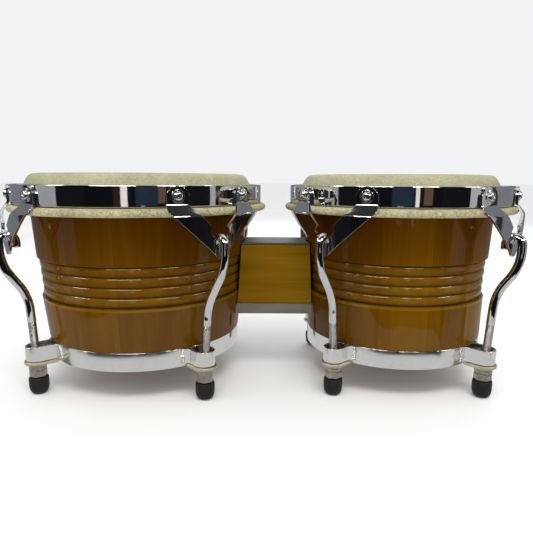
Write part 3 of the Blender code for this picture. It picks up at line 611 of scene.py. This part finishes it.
def build_head(drum):
    corner = drum.head_corner
    outer = [(corner - 0.0042, HEAD_TOP), (corner + 0.0004, HEAD_TOP - 0.0005),
             (corner + 0.0030, HEAD_TOP - 0.0026), (corner + 0.0050, HEAD_TOP - 0.0058),
             (corner + 0.0067, HEAD_TOP - 0.0095), (corner + 0.0090, HEAD_TOP - 0.0200),
             (corner + 0.0104, HEAD_TOP - 0.0262)]
    outer = round_corners(outer, 0.0030, 4, closed=False)
    flat = [(radius, HEAD_TOP) for radius in (0.0, 0.012, 0.025, 0.040, 0.055, 0.068)]
    outer = flat + outer
    # the underside follows the outer face, one thickness of skin away from it
    inner = []
    for index, (radius, height) in enumerate(outer):
        before = outer[max(index - 1, 0)]
        behind = outer[min(index + 1, len(outer) - 1)]
        run, rise = behind[0] - before[0], behind[1] - before[1]
        length = math.hypot(run, rise)
        inner.append((max(radius + SKIN * rise / length, 0.0), height - SKIN * run / length))

    def uneven(angle, radius, height):
        """The collar wanders a little where the skin was drawn down wet."""
        away = max(0.0, (HEAD_TOP - 0.003 - height) / 0.02)
        wave = noise.noise(Vector((math.cos(angle) * 3.0, math.sin(angle) * 3.0, drum.x * 9.0)))
        return radius + 0.0006 * wave * min(away, 1.0), height

    mesh = lathe(outer + inner[::-1], shift=uneven)
    head = new_object(drum.name + "_head_skin", mesh, 70.0, drum.origin)
    paint(head, "skin")
    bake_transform(head)
    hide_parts(drum.name + "_head")


def build_flesh_hoop(drum):
    centre, middle = drum.roll - ROLL_WIDTH / 2.0, (HOOP_BOTTOM + HOOP_TOP) / 2.0
    profile = []
    for angle in turns(28):
        across, up = math.cos(angle), math.sin(angle)
        across = math.copysign(abs(across) ** 0.85, across)
        up = math.copysign(abs(up) ** 0.85, up)
        profile.append((centre + ROLL_HALF_WIDTH * across, middle + ROLL_HALF_HEIGHT * up))

    def lumpy(angle, radius, height):
        """Folds and lumps of the rawhide wound over the hoop."""
        spot = Vector((math.cos(angle) * 5.0, math.sin(angle) * 5.0, height * 60.0 + drum.x * 10.0))
        fine = Vector((math.cos(angle) * 22.0, math.sin(angle) * 22.0, height * 200.0))
        swell = 0.00035 * noise.noise(spot) + 0.00014 * noise.noise(fine)
        return radius + swell, height + 0.6 * swell

    hoop = new_object(drum.name + "_flesh_hoop_roll", lathe(profile, 240, lumpy), 180.0, drum.origin)
    finish_piece(hoop, "wrap", drum.hoop, drum.name + "_flesh_hoop")


def band(outer, thickness, bottom, top, rounding, steps):
    """Flat metal band with rounded edges."""
    inner = outer - thickness
    outline = [(inner, bottom), (outer, bottom), (outer, top), (inner, top)]
    return lathe(round_corners(outline, rounding, steps), 200)


def build_rim(drum):
    mesh = band(drum.rim, RIM_THICKNESS, RIM_BOTTOM, RIM_TOP, 0.0008, 4)
    rim = new_object(drum.name + "_rim_band", mesh, 50.0, drum.origin)
    finish_piece(rim, "rim", drum.hoop, drum.name + "_rim")


# ---------------- claws
def claw_half():
    """Right half of the unrolled claw, from the crotch up round its tab and down to the point."""
    inner_edge, outer_edge = TAB_CENTRE - TAB_HALF, TAB_CENTRE + TAB_HALF
    crotch = [(0.0, 0.0), (0.0014, 0.00015), (0.0028, 0.0010), (0.0037, 0.0020), (0.0044, 0.0031)]
    notch = [(0.0070, 0.0062), (0.0087, 0.0079), (0.0090, 0.0092), (0.0086, 0.0103),
             (0.0073, 0.0117), (0.0070, 0.0124), (0.0073, 0.0131)]
    points = [(across, CROTCH + rise) for across, rise in crotch + notch]
    points += [(inner_edge - 0.0012, 0.1644), (inner_edge - 0.0002, 0.1656), (inner_edge, 0.1670)]
    points += arc(TAB_CENTRE, CLAW_TOP - TAB_HALF, TAB_HALF, 180.0, 0.0, 18)
    points += [(outer_edge, 0.1636), (outer_edge - 0.0004, 0.1620), (outer_edge - 0.0016, 0.1602)]
    point = [(0.0056, 0.0036), (0.0047, 0.0022), (0.0034, 0.0010), (0.0018, 0.00025), (0.0, 0.0)]
    points += [(across, CLAW_BOTTOM + rise) for across, rise in point]
    return points


# setback of the claw's inner face from the rim: the plate stands off, the tabs lie against the rim
CLAW_STATIONS = ((CLAW_BOTTOM, 0.0056), (CROTCH, 0.0062), (0.1584, 0.0064), (0.1668, 0.0003))
# levels at which the plate is cut, closest together where it bends
CLAW_LEVELS = (0.1270, 0.1300, 0.1364, 0.1400, 0.1450, 0.1500, 0.1550, 0.1572, 0.1578, 0.1584, 0.1590,
               0.1596, 0.1615, 0.1640, 0.1656, 0.1662, 0.1668, 0.1674, 0.1680, 0.1710, 0.1733, 0.1760,
               0.1790)


def claw_setback(height):
    """Setback at a height, with the two press bends rounded off."""
    total = 0.0
    for shift, share in ((-0.0009, 0.25), (0.0, 0.5), (0.0009, 0.25)):
        total += share * interpolate(height + shift, CLAW_STATIONS)
    return total


def claw_mesh(drum):
    """The flat claw, cut into a grid, then rolled round the rim and given its thickness."""
    half = claw_half()
    outline = half + [(-across, height) for across, height in half[-2:0:-1]]
    flat = bmesh.new()
    flat.faces.new([flat.verts.new((across, 0.0, height)) for across, height in outline])
    cuts = [((0.0, 0.0, level), (0.0, 0.0, 1.0)) for level in CLAW_LEVELS]
    cuts += [((step * 0.0030, 0.0, 0.0), (1.0, 0.0, 0.0)) for step in range(-13, 14)]
    for place, normal in cuts:
        geometry = flat.verts[:] + flat.edges[:] + flat.faces[:]
        bmesh.ops.bisect_plane(flat, geom=geometry, dist=1e-6, plane_co=place, plane_no=normal)
    flat.verts.index_update()
    mesh = bmesh.new()
    layers = []
    for depth in (0.0, CLAW_THICKNESS):
        layer = []
        for vertex in flat.verts:
            angle = vertex.co.x / drum.rim
            radius = drum.rim + claw_setback(vertex.co.z) + depth
            layer.append(mesh.verts.new((radius * math.cos(angle), radius * math.sin(angle), vertex.co.z)))
        layers.append(layer)
    back, front = layers
    for face in flat.faces:
        corners = [vertex.index for vertex in face.verts]
        mesh.faces.new([front[corner] for corner in corners])
        mesh.faces.new([back[corner] for corner in reversed(corners)])
    for edge in flat.edges:
        if edge.is_boundary:
            first, second = (vertex.index for vertex in edge.verts)
            mesh.faces.new((back[first], back[second], front[second], front[first]))
    flat.free()
    return mesh


def rivet_mesh(drum, angle):
    """Washer, domed rivet with a dimple, and its peened tail inside the rim."""
    base = drum.rim + 0.0003 + CLAW_THICKNESS
    washer = round_corners([(0.0036, base - 0.0004), (WASHER_RADIUS, base - 0.0004),
                            (WASHER_RADIUS, base + 0.0006), (0.0036, base + 0.0008)], 0.0003, 3)
    dome = [(0.0, base - 0.0004), (RIVET_RADIUS, base - 0.0004)]
    for step in range(9):
        lean = math.radians(8.0 + 60.0 * step / 8.0)
        dome.append((RIVET_RADIUS * math.cos(lean) ** 0.8, base + 0.0005 + DOME_HEIGHT * math.sin(lean)))
    dimple = [(0.0014, base + 0.00256), (0.0010, base + 0.0019), (0.0, base + 0.0016)]
    inside = drum.rim - RIM_THICKNESS
    tail = [(0.0, inside + 0.0002), (0.0026, inside + 0.0002), (0.0026, inside - 0.0003),
            (0.0020, inside - 0.0006), (0.0, inside - 0.0007)]
    place = Matrix.Translation((0.0, 0.0, RIVET_HEIGHT)) @ Matrix.Rotation(angle, 4, "Z")
    place = place @ Matrix.Rotation(math.pi / 2.0, 4, "Y")
    mesh = bmesh.new()
    for profile in (washer, dome + dimple, tail):
        part = lathe(profile, 32)
        data = bpy.data.meshes.new("rivet_part")
        part.transform(place)
        part.to_mesh(data)
        part.free()
        mesh.from_mesh(data)
        bpy.data.meshes.remove(data)
    return mesh


def build_claw(drum, lug, angle):
    name = f"{drum.name}_claw_plate_{lug}"
    claw = new_object(name, claw_mesh(drum), 32.0, drum.origin, angle)
    bevel(claw, 0.0006, 3, 45.0)
    finish_piece(claw, "claw", drum.hoop, f"{drum.name}_claw_{lug}")
    for side, label in ((-1.0, "a"), (1.0, "b")):
        mesh = rivet_mesh(drum, side * TAB_CENTRE / drum.rim)
        rivet = new_object(f"{drum.name}_rivet_{lug}_{label}", mesh, 40.0, drum.origin, angle)
        finish_piece(rivet, "rod", drum.hoop)


# ---------------- rods
def fillet(before, corner, after, radius, steps):
    """Points of the arc that rounds a corner between two straight legs."""
    before, corner, after = Vector(before), Vector(corner), Vector(after)
    incoming = (corner - before).normalized()
    outgoing = (after - corner).normalized()
    half = incoming.angle(outgoing) / 2.0
    start = corner - incoming * radius * math.tan(half)
    end = corner + outgoing * radius * math.tan(half)
    centre = corner + (outgoing - incoming).normalized() * radius / math.cos(half)
    leans = [(start - centre).lerp(end - centre, step / steps).normalized() for step in range(steps + 1)]
    return [tuple(centre + lean * radius) for lean in leans]


def rod_stations(drum, shank):
    """Centre line of a rod from the hook's tip to the thread: (x, z, radius) stations."""
    hook_x = drum.rim + HOOK_OUT
    outer_x, inner_x = hook_x + HOOK_BEND, hook_x - HOOK_BEND
    upper = (outer_x, OFFSET_TOP)
    lower = (shank, OFFSET_TOP - (outer_x - shank) / math.tan(math.radians(OFFSET_SLANT)))
    rounding = 0.0012
    stations = []
    for step in range(5):
        lean = math.radians(90.0 * (1.0 - step / 4.0))
        stations.append((inner_x, HOOK_TIP + rounding * (1.0 - math.sin(lean)),
                         ROD_RADIUS - rounding * (1.0 - math.cos(lean))))
    centre_line = arc(hook_x, HOOK_HEIGHT, HOOK_BEND, 180.0, 0.0, 22)
    centre_line += fillet((outer_x, HOOK_HEIGHT), upper, lower, OFFSET_BEND, 16)
    centre_line += fillet(upper, lower, (shank, THREAD_TOP), OFFSET_BEND, 16)
    centre_line.append((shank, THREAD_TOP + 0.0006))
    stations += [(x, z, ROD_RADIUS) for x, z in centre_line]
    stations.append((shank, THREAD_TOP, ROD_RADIUS - 0.0002))
    return stations


def lean_rod(mesh, radius, aside):
    """Lean a straight rod so that it meets its nut: inward below the bend, sideways all along."""
    nut_middle = (NUT_BOTTOM + NUT_TOP) / 2.0
    for vertex in mesh.verts:
        below_bend = max(0.0, SHANK_TOP - vertex.co.z) / (SHANK_TOP - nut_middle)
        below_hook = max(0.0, HOOK_HEIGHT - vertex.co.z) / (HOOK_HEIGHT - nut_middle)
        vertex.co.x -= SHANK_LEAN * below_bend
        vertex.co.x -= radius * (1.0 - math.cos(aside)) * below_hook
        vertex.co.y += radius * math.sin(aside) * below_hook


def rod_mesh(drum, shank):
    segments = 28
    stations = rod_stations(drum, shank)
    points = [Vector((x, 0.0, z)) for x, z, _ in stations]
    rings = []
    for index, (_, _, radius) in enumerate(stations):
        before = points[max(index - 1, 0)]
        behind = points[min(index + 1, len(points) - 1)]
        along = (behind - before).normalized()
        across = Vector((-along.z, 0.0, along.x))
        ring = []
        for angle in turns(segments):
            side = across * math.cos(angle) + Vector((0.0, math.sin(angle), 0.0))
            ring.append(points[index] + side * radius)
        rings.append(ring)
    return tube(rings)


def thread_mesh(shank):
    """A cut thread: each ring's radius follows the helix."""
    segments, rows_per_turn = 16, 5
    top = THREAD_TOP + 0.0002
    rings = []
    for row in range(int((top - THREAD_BOTTOM) / THREAD_PITCH * rows_per_turn) + 1):
        height = top - THREAD_PITCH * row / rows_per_turn
        ring = []
        for step, angle in enumerate(turns(segments)):
            turn = (height / THREAD_PITCH - step / segments) % 1.0
            radius = THREAD_RADIUS - THREAD_CUT * (2.0 * abs(turn - 0.5))
            ring.append((shank + radius * math.cos(angle), radius * math.sin(angle), height))
        rings.append(ring)
    return tube(rings)


def build_rod(drum, lug, angle, nut_angle, reach):
    shank = reach + SHANK_LEAN
    bar, screw = rod_mesh(drum, shank), thread_mesh(shank)
    for mesh in (bar, screw):
        lean_rod(mesh, reach, nut_angle - angle)
    rod = new_object(f"{drum.name}_hooked_rod_{lug}", bar, 50.0, drum.origin, angle)
    finish_piece(rod, "rod", drum.hoop, f"{drum.name}_rod_{lug}")
    thread = new_object(f"{drum.name}_rod_thread_{lug}", screw, 60.0, drum.origin, angle)
    finish_piece(thread, "thread", drum.hoop)


# ---------------- bottom ring, lugs, feet
def build_ring(drum):
    mesh = band(drum.ring, RING_THICKNESS, RING_BOTTOM, RING_TOP, 0.0005, 3)
    ring = new_object(drum.name + "_ring_band", mesh, 50.0, drum.origin)
    finish_piece(ring, "ring", ROOT, drum.name + "_bottom_ring")


def ear_outline(drum, reach):
    """A strip bent round the rod, its two feet lying along the ring."""
    sunk, proud = drum.ring - 0.0004, drum.ring + 0.0019
    inside = EAR_HALF - EAR_STRIP

    def on_ring(radius, along):
        return (radius * math.cos(along / drum.ring), radius * math.sin(along / drum.ring))

    side = [on_ring(sunk, EAR_FOOT), on_ring(proud - 0.0004, EAR_FOOT), on_ring(proud, EAR_FOOT - 0.0004),
            on_ring(proud + 0.0001, EAR_HALF + 0.0022), on_ring(proud + 0.0004, EAR_HALF + 0.0011),
            (proud + 0.0010, EAR_HALF + 0.0004), (proud + 0.0022, EAR_HALF)]
    outer = arc(reach, 0.0, EAR_HALF, 90.0, -90.0, 24)
    loop = arc(reach, 0.0, inside, -90.0, 90.0, 24)
    other = [(x, -y) for x, y in reversed(side)]
    return side + outer + other + [on_ring(sunk, -inside)] + loop + [on_ring(sunk, inside)]


def weld_mesh(drum, side, seed):
    """A lumpy weld down the end of an ear's foot."""
    rng = random.Random(seed)
    rings = []
    steps, sectors = 44, 16
    spots = [(rng.uniform(0.0, 1.0), rng.uniform(0.5, 1.0)) for _ in range(7)]
    for level in range(steps + 1):
        share = level / steps
        height = EAR_BOTTOM + 0.0004 + (EAR_TOP - EAR_BOTTOM - 0.0006) * share
        swell = 0.00105 + 0.00022 * math.sin(level * 1.35 + seed)
        for spot, size in spots:
            swell += 0.00055 * size * math.exp(-((share - spot) / 0.055) ** 2)
        swell = min(swell, 0.0017)
        if level in (0, steps):
            swell *= 0.35
        centre = side * (0.0131 + 0.0005 * math.sin(level * 0.41 + 2.0 * seed))
        ring = []
        for turn in turns(sectors):
            radius = drum.ring + 0.0001 + swell * math.cos(turn)
            along = (centre + swell * 1.25 * math.sin(turn)) / drum.ring
            ring.append((radius * math.cos(along), radius * math.sin(along), height))
        rings.append(ring)
    return tube(rings)


def build_ear(drum, lug, angle, reach, index):
    mesh = prism(ear_outline(drum, reach), EAR_BOTTOM, EAR_TOP)
    ear = new_object(f"{drum.name}_ear_{lug}", mesh, 30.0, drum.origin, angle)
    bevel(ear, 0.0004, 2, 50.0)
    finish_piece(ear, "ring", ROOT)
    for side, label in ((-1.0, "a"), (1.0, "b")):
        mesh = weld_mesh(drum, side, index * 7 + side)
        weld = new_object(f"{drum.name}_weld_{lug}_{label}", mesh, 180.0, drum.origin, angle)
        finish_piece(weld, "ring", ROOT)


def build_lug_plate(drum, lug, angle, reach):
    flat = drum.ring + 0.0003
    outline = arc(reach, 0.0, PLATE_HALF, 90.0, -90.0, 28) + [(flat, -PLATE_HALF), (flat, PLATE_HALF)]
    mesh = prism(outline, PLATE_BOTTOM, PLATE_TOP)
    plate = new_object(f"{drum.name}_zinc_plate_{lug}", mesh, 30.0, drum.origin, angle)
    bevel(plate, 0.0009, 3, 50.0)
    finish_piece(plate, "zinc", ROOT, f"{drum.name}_lug_plate_{lug}")


def build_nut(drum, lug, place, turn):
    """Hexagon with a narrow groove turned under its shoulder, and its flange."""
    body = f"{drum.name}_nut_{lug}"
    corner = NUT_ACROSS_FLATS / 2.0 / math.cos(math.pi / 6.0)
    hexagon = arc(0.0, 0.0, corner, 0.0, 300.0, 5)
    levels = ((NUT_BOTTOM, 0.93), (NUT_BOTTOM + 0.0006, 1.0), (NUT_WAIST - 0.0004, 1.0),
              (NUT_WAIST - 0.0002, 0.90), (NUT_WAIST + 0.0003, 0.90), (NUT_WAIST + 0.0005, 1.0),
              (NUT_FLANGE - 0.0004, 1.0))
    mesh = tube([[(x * scale, y * scale, height) for x, y in hexagon] for height, scale in levels])
    nut = new_object(f"{drum.name}_hex_nut_{lug}", mesh, 30.0, place, turn)
    bevel(nut, 0.0003, 2, 50.0)
    finish_piece(nut, "nut", body, f"{drum.name}_nut_{lug}")
    bottom = NUT_FLANGE - 0.0006
    flange = [(NUT_BORE, bottom), (0.0066, bottom), (FLANGE_RADIUS, NUT_FLANGE + 0.0004),
              (FLANGE_RADIUS, NUT_TOP - 0.0002), (FLANGE_RADIUS - 0.0003, NUT_TOP), (NUT_BORE, NUT_TOP)]
    mesh = lathe(round_corners(flange, 0.0003, 2), 40)
    collar = new_object(f"{drum.name}_nut_flange_{lug}", mesh, 40.0, place)
    finish_piece(collar, "nut", body)


def build_foot(drum, lug, place):
    """Rubber cap with a rounded sole and a shallow dish in its top."""
    dish = FOOT_TOP - 0.0008
    cap = [(0.0036, 0.0), (0.0058, 0.0007), (0.0074, 0.0027), (0.0082, 0.0062), (0.0083, 0.0125),
           (0.0082, 0.0141), (0.0076, FOOT_TOP - 0.0001), (0.0062, FOOT_TOP), (0.0060, dish)]
    profile = [(0.0, 0.0)] + round_corners(cap, 0.0009, 3, closed=False) + [(0.0, dish)]
    foot = new_object(f"{drum.name}_rubber_foot_{lug}", lathe(profile, 48), 60.0, place)
    finish_piece(foot, "rubber", f"{drum.name}_nut_{lug}", f"{drum.name}_foot_{lug}")


# ---------------- centre block
def between_shells(drums, half, levels, gaps):
    """Solid of one depth that spans the two shells, its ends hollowed to follow them."""
    left, right = drums
    left_gap, right_gap = gaps
    slices = 19
    mesh = bmesh.new()
    grid = []
    for height in levels:
        line = []
        for step in range(slices):
            y = half * (2.0 * step / (slices - 1) - 1.0)
            left_x = left.x + math.sqrt((left.wall(height) + left_gap) ** 2 - y * y)
            right_x = right.x - math.sqrt((right.wall(height) + right_gap) ** 2 - y * y)
            line.append((mesh.verts.new((left_x, y, height)), mesh.verts.new((right_x, y, height))))
        grid.append(line)
    for low, high in zip(grid, grid[1:]):
        for first, second in zip(range(slices), range(1, slices)):
            for side in (0, 1):
                mesh.faces.new((low[first][side], low[second][side], high[second][side], high[first][side]))
        for end in (0, slices - 1):
            mesh.faces.new((low[end][0], low[end][1], high[end][1], high[end][0]))
    for line in (grid[0], grid[-1]):
        for first, second in zip(range(slices), range(1, slices)):
            mesh.faces.new((line[first][0], line[second][0], line[second][1], line[first][1]))
    return mesh


def build_centre(drums):
    low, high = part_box("centre_block")
    levels = [low[2] + (high[2] - low[2]) * step / 8.0 for step in range(9)]
    block = new_object("centre_wood_block", between_shells(drums, high[1], levels, BLOCK_GAPS), 30.0)
    bevel(block, 0.0009, 3, 40.0)
    finish_piece(block, "block", ROOT, "centre_block")

    low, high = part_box("centre_top_plate")
    mesh = between_shells(drums, high[1], (low[2], high[2]), TOP_PLATE_GAPS)
    plate = new_object("centre_steel_top", mesh, 30.0)
    bevel(plate, 0.0004, 2, 40.0)
    finish_piece(plate, "top_plate", ROOT, "centre_top_plate")


def finish_cad_nodes(drums):
    """The channel and the parts inside the shells keep their CAD meshes."""
    channel = frame["nodes"]["centre_channel"]
    bevel(channel, 0.0004, 2, 40.0)
    paint(channel, "plate")
    for drum in drums:
        for part in ("backing_plate", "block_bolt_lower", "block_bolt_upper"):
            paint(frame["nodes"][f"{drum.name}_{part}"], "bolt")


# ---------------- stage, lights, camera
def glow_material(name, colour, strength):
    material = bpy.data.materials.new(name)
    material.use_nodes = True
    tree = material.node_tree
    tree.nodes.clear()
    glow = tree.nodes.new("ShaderNodeEmission")
    glow.inputs["Color"].default_value = (*colour, 1.0)
    glow.inputs["Strength"].default_value = strength
    output = tree.nodes.new("ShaderNodeOutputMaterial")
    tree.links.new(glow.outputs[0], output.inputs["Surface"])
    return material


def add_card(name, mesh, colour, strength=1.0):
    """A glowing card that shows in polished surfaces and nowhere else."""
    card = new_object(name, mesh)
    card.data.materials.append(glow_material(name, colour, strength))
    for ray in ("camera", "diffuse", "transmission", "volume_scatter", "shadow"):
        setattr(card, "visible_" + ray, False)


def far_card(name, start, end, bottom, top, colour, strength=1.0, radius=1.5):
    """Curved card round the drums, angles in degrees from the front towards +X."""
    mesh = bmesh.new()
    columns = []
    steps = max(2, int(abs(end - start) / 5.0))
    for step in range(steps + 1):
        angle = math.radians(start + (end - start) * step / steps)
        x, y = radius * math.sin(angle), -radius * math.cos(angle)
        columns.append((mesh.verts.new((x, y, bottom)), mesh.verts.new((x, y, top))))
    for first, second in zip(columns, columns[1:]):
        mesh.faces.new((first[0], second[0], second[1], first[1]))
    add_card(name, mesh, colour, strength)


def flat_card(name, corners, colour):
    """Card with straight edges through the corners."""
    mesh = bmesh.new()
    mesh.faces.new([mesh.verts.new(corner) for corner in corners])
    add_card(name, mesh, colour)


def near_card(name, start, end, bottom, top, colour):
    """Flat upright card between two (x, y) points."""
    flat_card(name, ((*start, bottom), (*end, bottom), (*end, top), (*start, top)), colour)


def build_reflections():
    """What the chrome and the lacquer mirror: a dark room with pale sides, strips and a lamp."""
    far_card("card_dark_front", -59.0, 56.0, -1.0, 0.80, (0.0055, 0.0060, 0.0075))
    far_card("card_grey_left", -82.0, -59.0, -1.0, 0.90, (0.42, 0.43, 0.45), 0.85)
    far_card("card_grey_right", 56.0, 78.0, -1.0, 0.90, (0.46, 0.46, 0.45), 0.95)
    far_card("card_dim_left", -93.0, -82.0, -1.0, 0.90, (0.02, 0.02, 0.02))
    far_card("card_dim_right", 78.0, 86.0, -1.0, 0.90, (0.03, 0.03, 0.03))
    far_card("card_back_left", -168.0, -93.0, -1.0, 1.80, (0.40, 0.42, 0.46), 0.50)
    far_card("card_back_right", 86.0, 168.0, -1.0, 1.80, (0.42, 0.43, 0.45), 0.50)
    far_card("card_strip_left", -8.3, -2.9, -0.10, 0.60, (1.0, 0.90, 0.86), 0.95, 1.46)
    far_card("card_strip_right", 7.7, 11.2, -0.10, 0.60, (1.0, 0.92, 0.86), 0.95, 1.46)
    far_card("card_brown_left", -14.0, -8.4, -0.10, 0.60, (0.030, 0.015, 0.010), 1.0, 1.47)
    near_card("card_blue", (-0.040, -0.505), (0.125, -0.505), 0.09, 0.60, (0.020, 0.030, 0.046))
    near_card("card_brown_right", (0.250, -0.755), (0.360, -0.755), 0.06, 0.60, (0.13, 0.075, 0.055))
    far_card("card_lamp", -82.0, 80.0, 0.97, 1.12, (1.0, 0.93, 0.80), 24.0, 1.48)
    ceiling = [(x, y, 1.30) for x, y in ((-1.3, -1.10), (1.3, -1.10), (1.3, -0.20), (-1.3, -0.20))]
    flat_card("card_ceiling", ceiling, (0.035, 0.036, 0.040))
    dark = (0.008, 0.008, 0.009)
    near_card("card_dark_beside_right", (0.264, -0.335), (0.265, -0.165), -0.01, 0.45, dark)
    near_card("card_dark_beside_left", (-0.295, -0.350), (-0.296, -0.182), -0.01, 0.45, dark)


def build_floor():
    mesh = bmesh.new()
    bmesh.ops.create_circle(mesh, cap_ends=True, radius=30.0, segments=96)
    floor = new_object("floor", mesh)
    s = Shader("pale_floor", roughness=0.6, specular=0.3)
    s.colour(s.ramp(s.noise(3.0, 2.0), ((0.3, (0.90, 0.90, 0.90)), (0.7, (0.925, 0.925, 0.925)))))
    floor.data.materials.append(s.material)
    floor.visible_glossy = False


def build_table_card():
    """Pale table top for the chrome to mirror, its near edge close in front of the drums."""
    edge = ((-0.62, 0.03), (-0.36, -0.115), (-0.20, -0.235), (-0.10, -0.275), (-0.03, -0.250),
            (0.02, -0.240), (0.07, -0.250), (0.115, -0.275), (0.20, -0.255), (0.36, -0.170),
            (0.62, 0.00), (0.70, 0.60), (-0.70, 0.60))
    flat_card("card_table", [(x, y, 0.0006) for x, y in edge], (0.62, 0.62, 0.61))


def build_world():
    world = bpy.data.worlds.new("studio")
    bpy.context.scene.world = world
    world.use_nodes = True
    backdrop = world.node_tree.nodes["Background"]
    backdrop.inputs["Color"].default_value = (0.93, 0.94, 0.95, 1.0)
    backdrop.inputs["Strength"].default_value = 0.95


def add_light(name, place, target, width, depth, power, colour=(1.0, 1.0, 1.0)):
    data = bpy.data.lights.new(name, "AREA")
    data.energy = power
    data.color = colour
    data.shape = "RECTANGLE"
    data.size = width
    data.size_y = depth
    lamp = bpy.data.objects.new(name, data)
    lamp.location = place
    aim = Vector(target) - Vector(place)
    lamp.rotation_euler = aim.to_track_quat("-Z", "Y").to_euler()
    lamp.visible_glossy = False
    bpy.context.scene.collection.objects.link(lamp)


def build_lights():
    add_light("key_overhead", (0.10, -0.75, 1.25), (0.0, 0.0, 0.1), 0.9, 0.35, 9.0, (1.0, 0.98, 0.95))
    add_light("fill_left", (-1.3, -0.5, 0.9), (0.0, 0.0, 0.1), 0.7, 0.7, 2.2)
    add_light("rim_back", (0.3, 1.2, 1.1), (0.0, 0.0, 0.12), 1.2, 1.2, 7.0)


def build_camera():
    """Camera in front of the drums and a little above, turned by three angles in radians."""
    place = Vector((0.0024, -0.4678, 0.1853))
    yaw, pitch, roll = 0.0011, -0.1769, 0.0046
    forward = Vector((math.sin(yaw) * math.cos(pitch), math.cos(yaw) * math.cos(pitch), math.sin(pitch)))
    right = Vector((math.cos(yaw), -math.sin(yaw), 0.0))
    up = right.cross(forward)
    side = math.cos(roll) * right + math.sin(roll) * up
    top = -math.sin(roll) * right + math.cos(roll) * up
    data = bpy.data.cameras.new("camera")
    data.lens = 32.566
    data.sensor_width = 36.0
    data.clip_start = 0.01
    camera = bpy.data.objects.new("camera", data)
    rows = [(side[axis], top[axis], -forward[axis], place[axis]) for axis in range(3)]
    camera.matrix_world = Matrix((*rows, (0.0, 0.0, 0.0, 1.0)))
    bpy.context.scene.collection.objects.link(camera)
    bpy.context.scene.camera = camera


def build_drum(drum):
    build_shell(drum)
    build_head(drum)
    build_flesh_hoop(drum)
    build_rim(drum)
    build_ring(drum)
    for index, (lug, claw_angle, nut_angle, reach) in enumerate(drum.lugs):
        build_claw(drum, lug, claw_angle)
        build_rod(drum, lug, claw_angle, nut_angle, reach)
        build_ear(drum, lug, nut_angle, reach, index)
        build_lug_plate(drum, lug, nut_angle, reach)
        place = drum.origin + Vector((math.cos(nut_angle), math.sin(nut_angle), 0.0)) * reach
        build_nut(drum, lug, place, nut_angle + 0.35 * index)
        build_foot(drum, lug, place)


def main():
    drums = (Drum("left"), Drum("right"))
    for drum in drums:
        build_drum(drum)
    build_centre(drums)
    finish_cad_nodes(drums)
    build_reflections()
    build_floor()
    build_table_card()
    build_world()
    build_lights()
    build_camera()
    bpy.context.scene.view_settings.view_transform = "Standard"
    bpy.context.scene.view_settings.look = "None"


main()
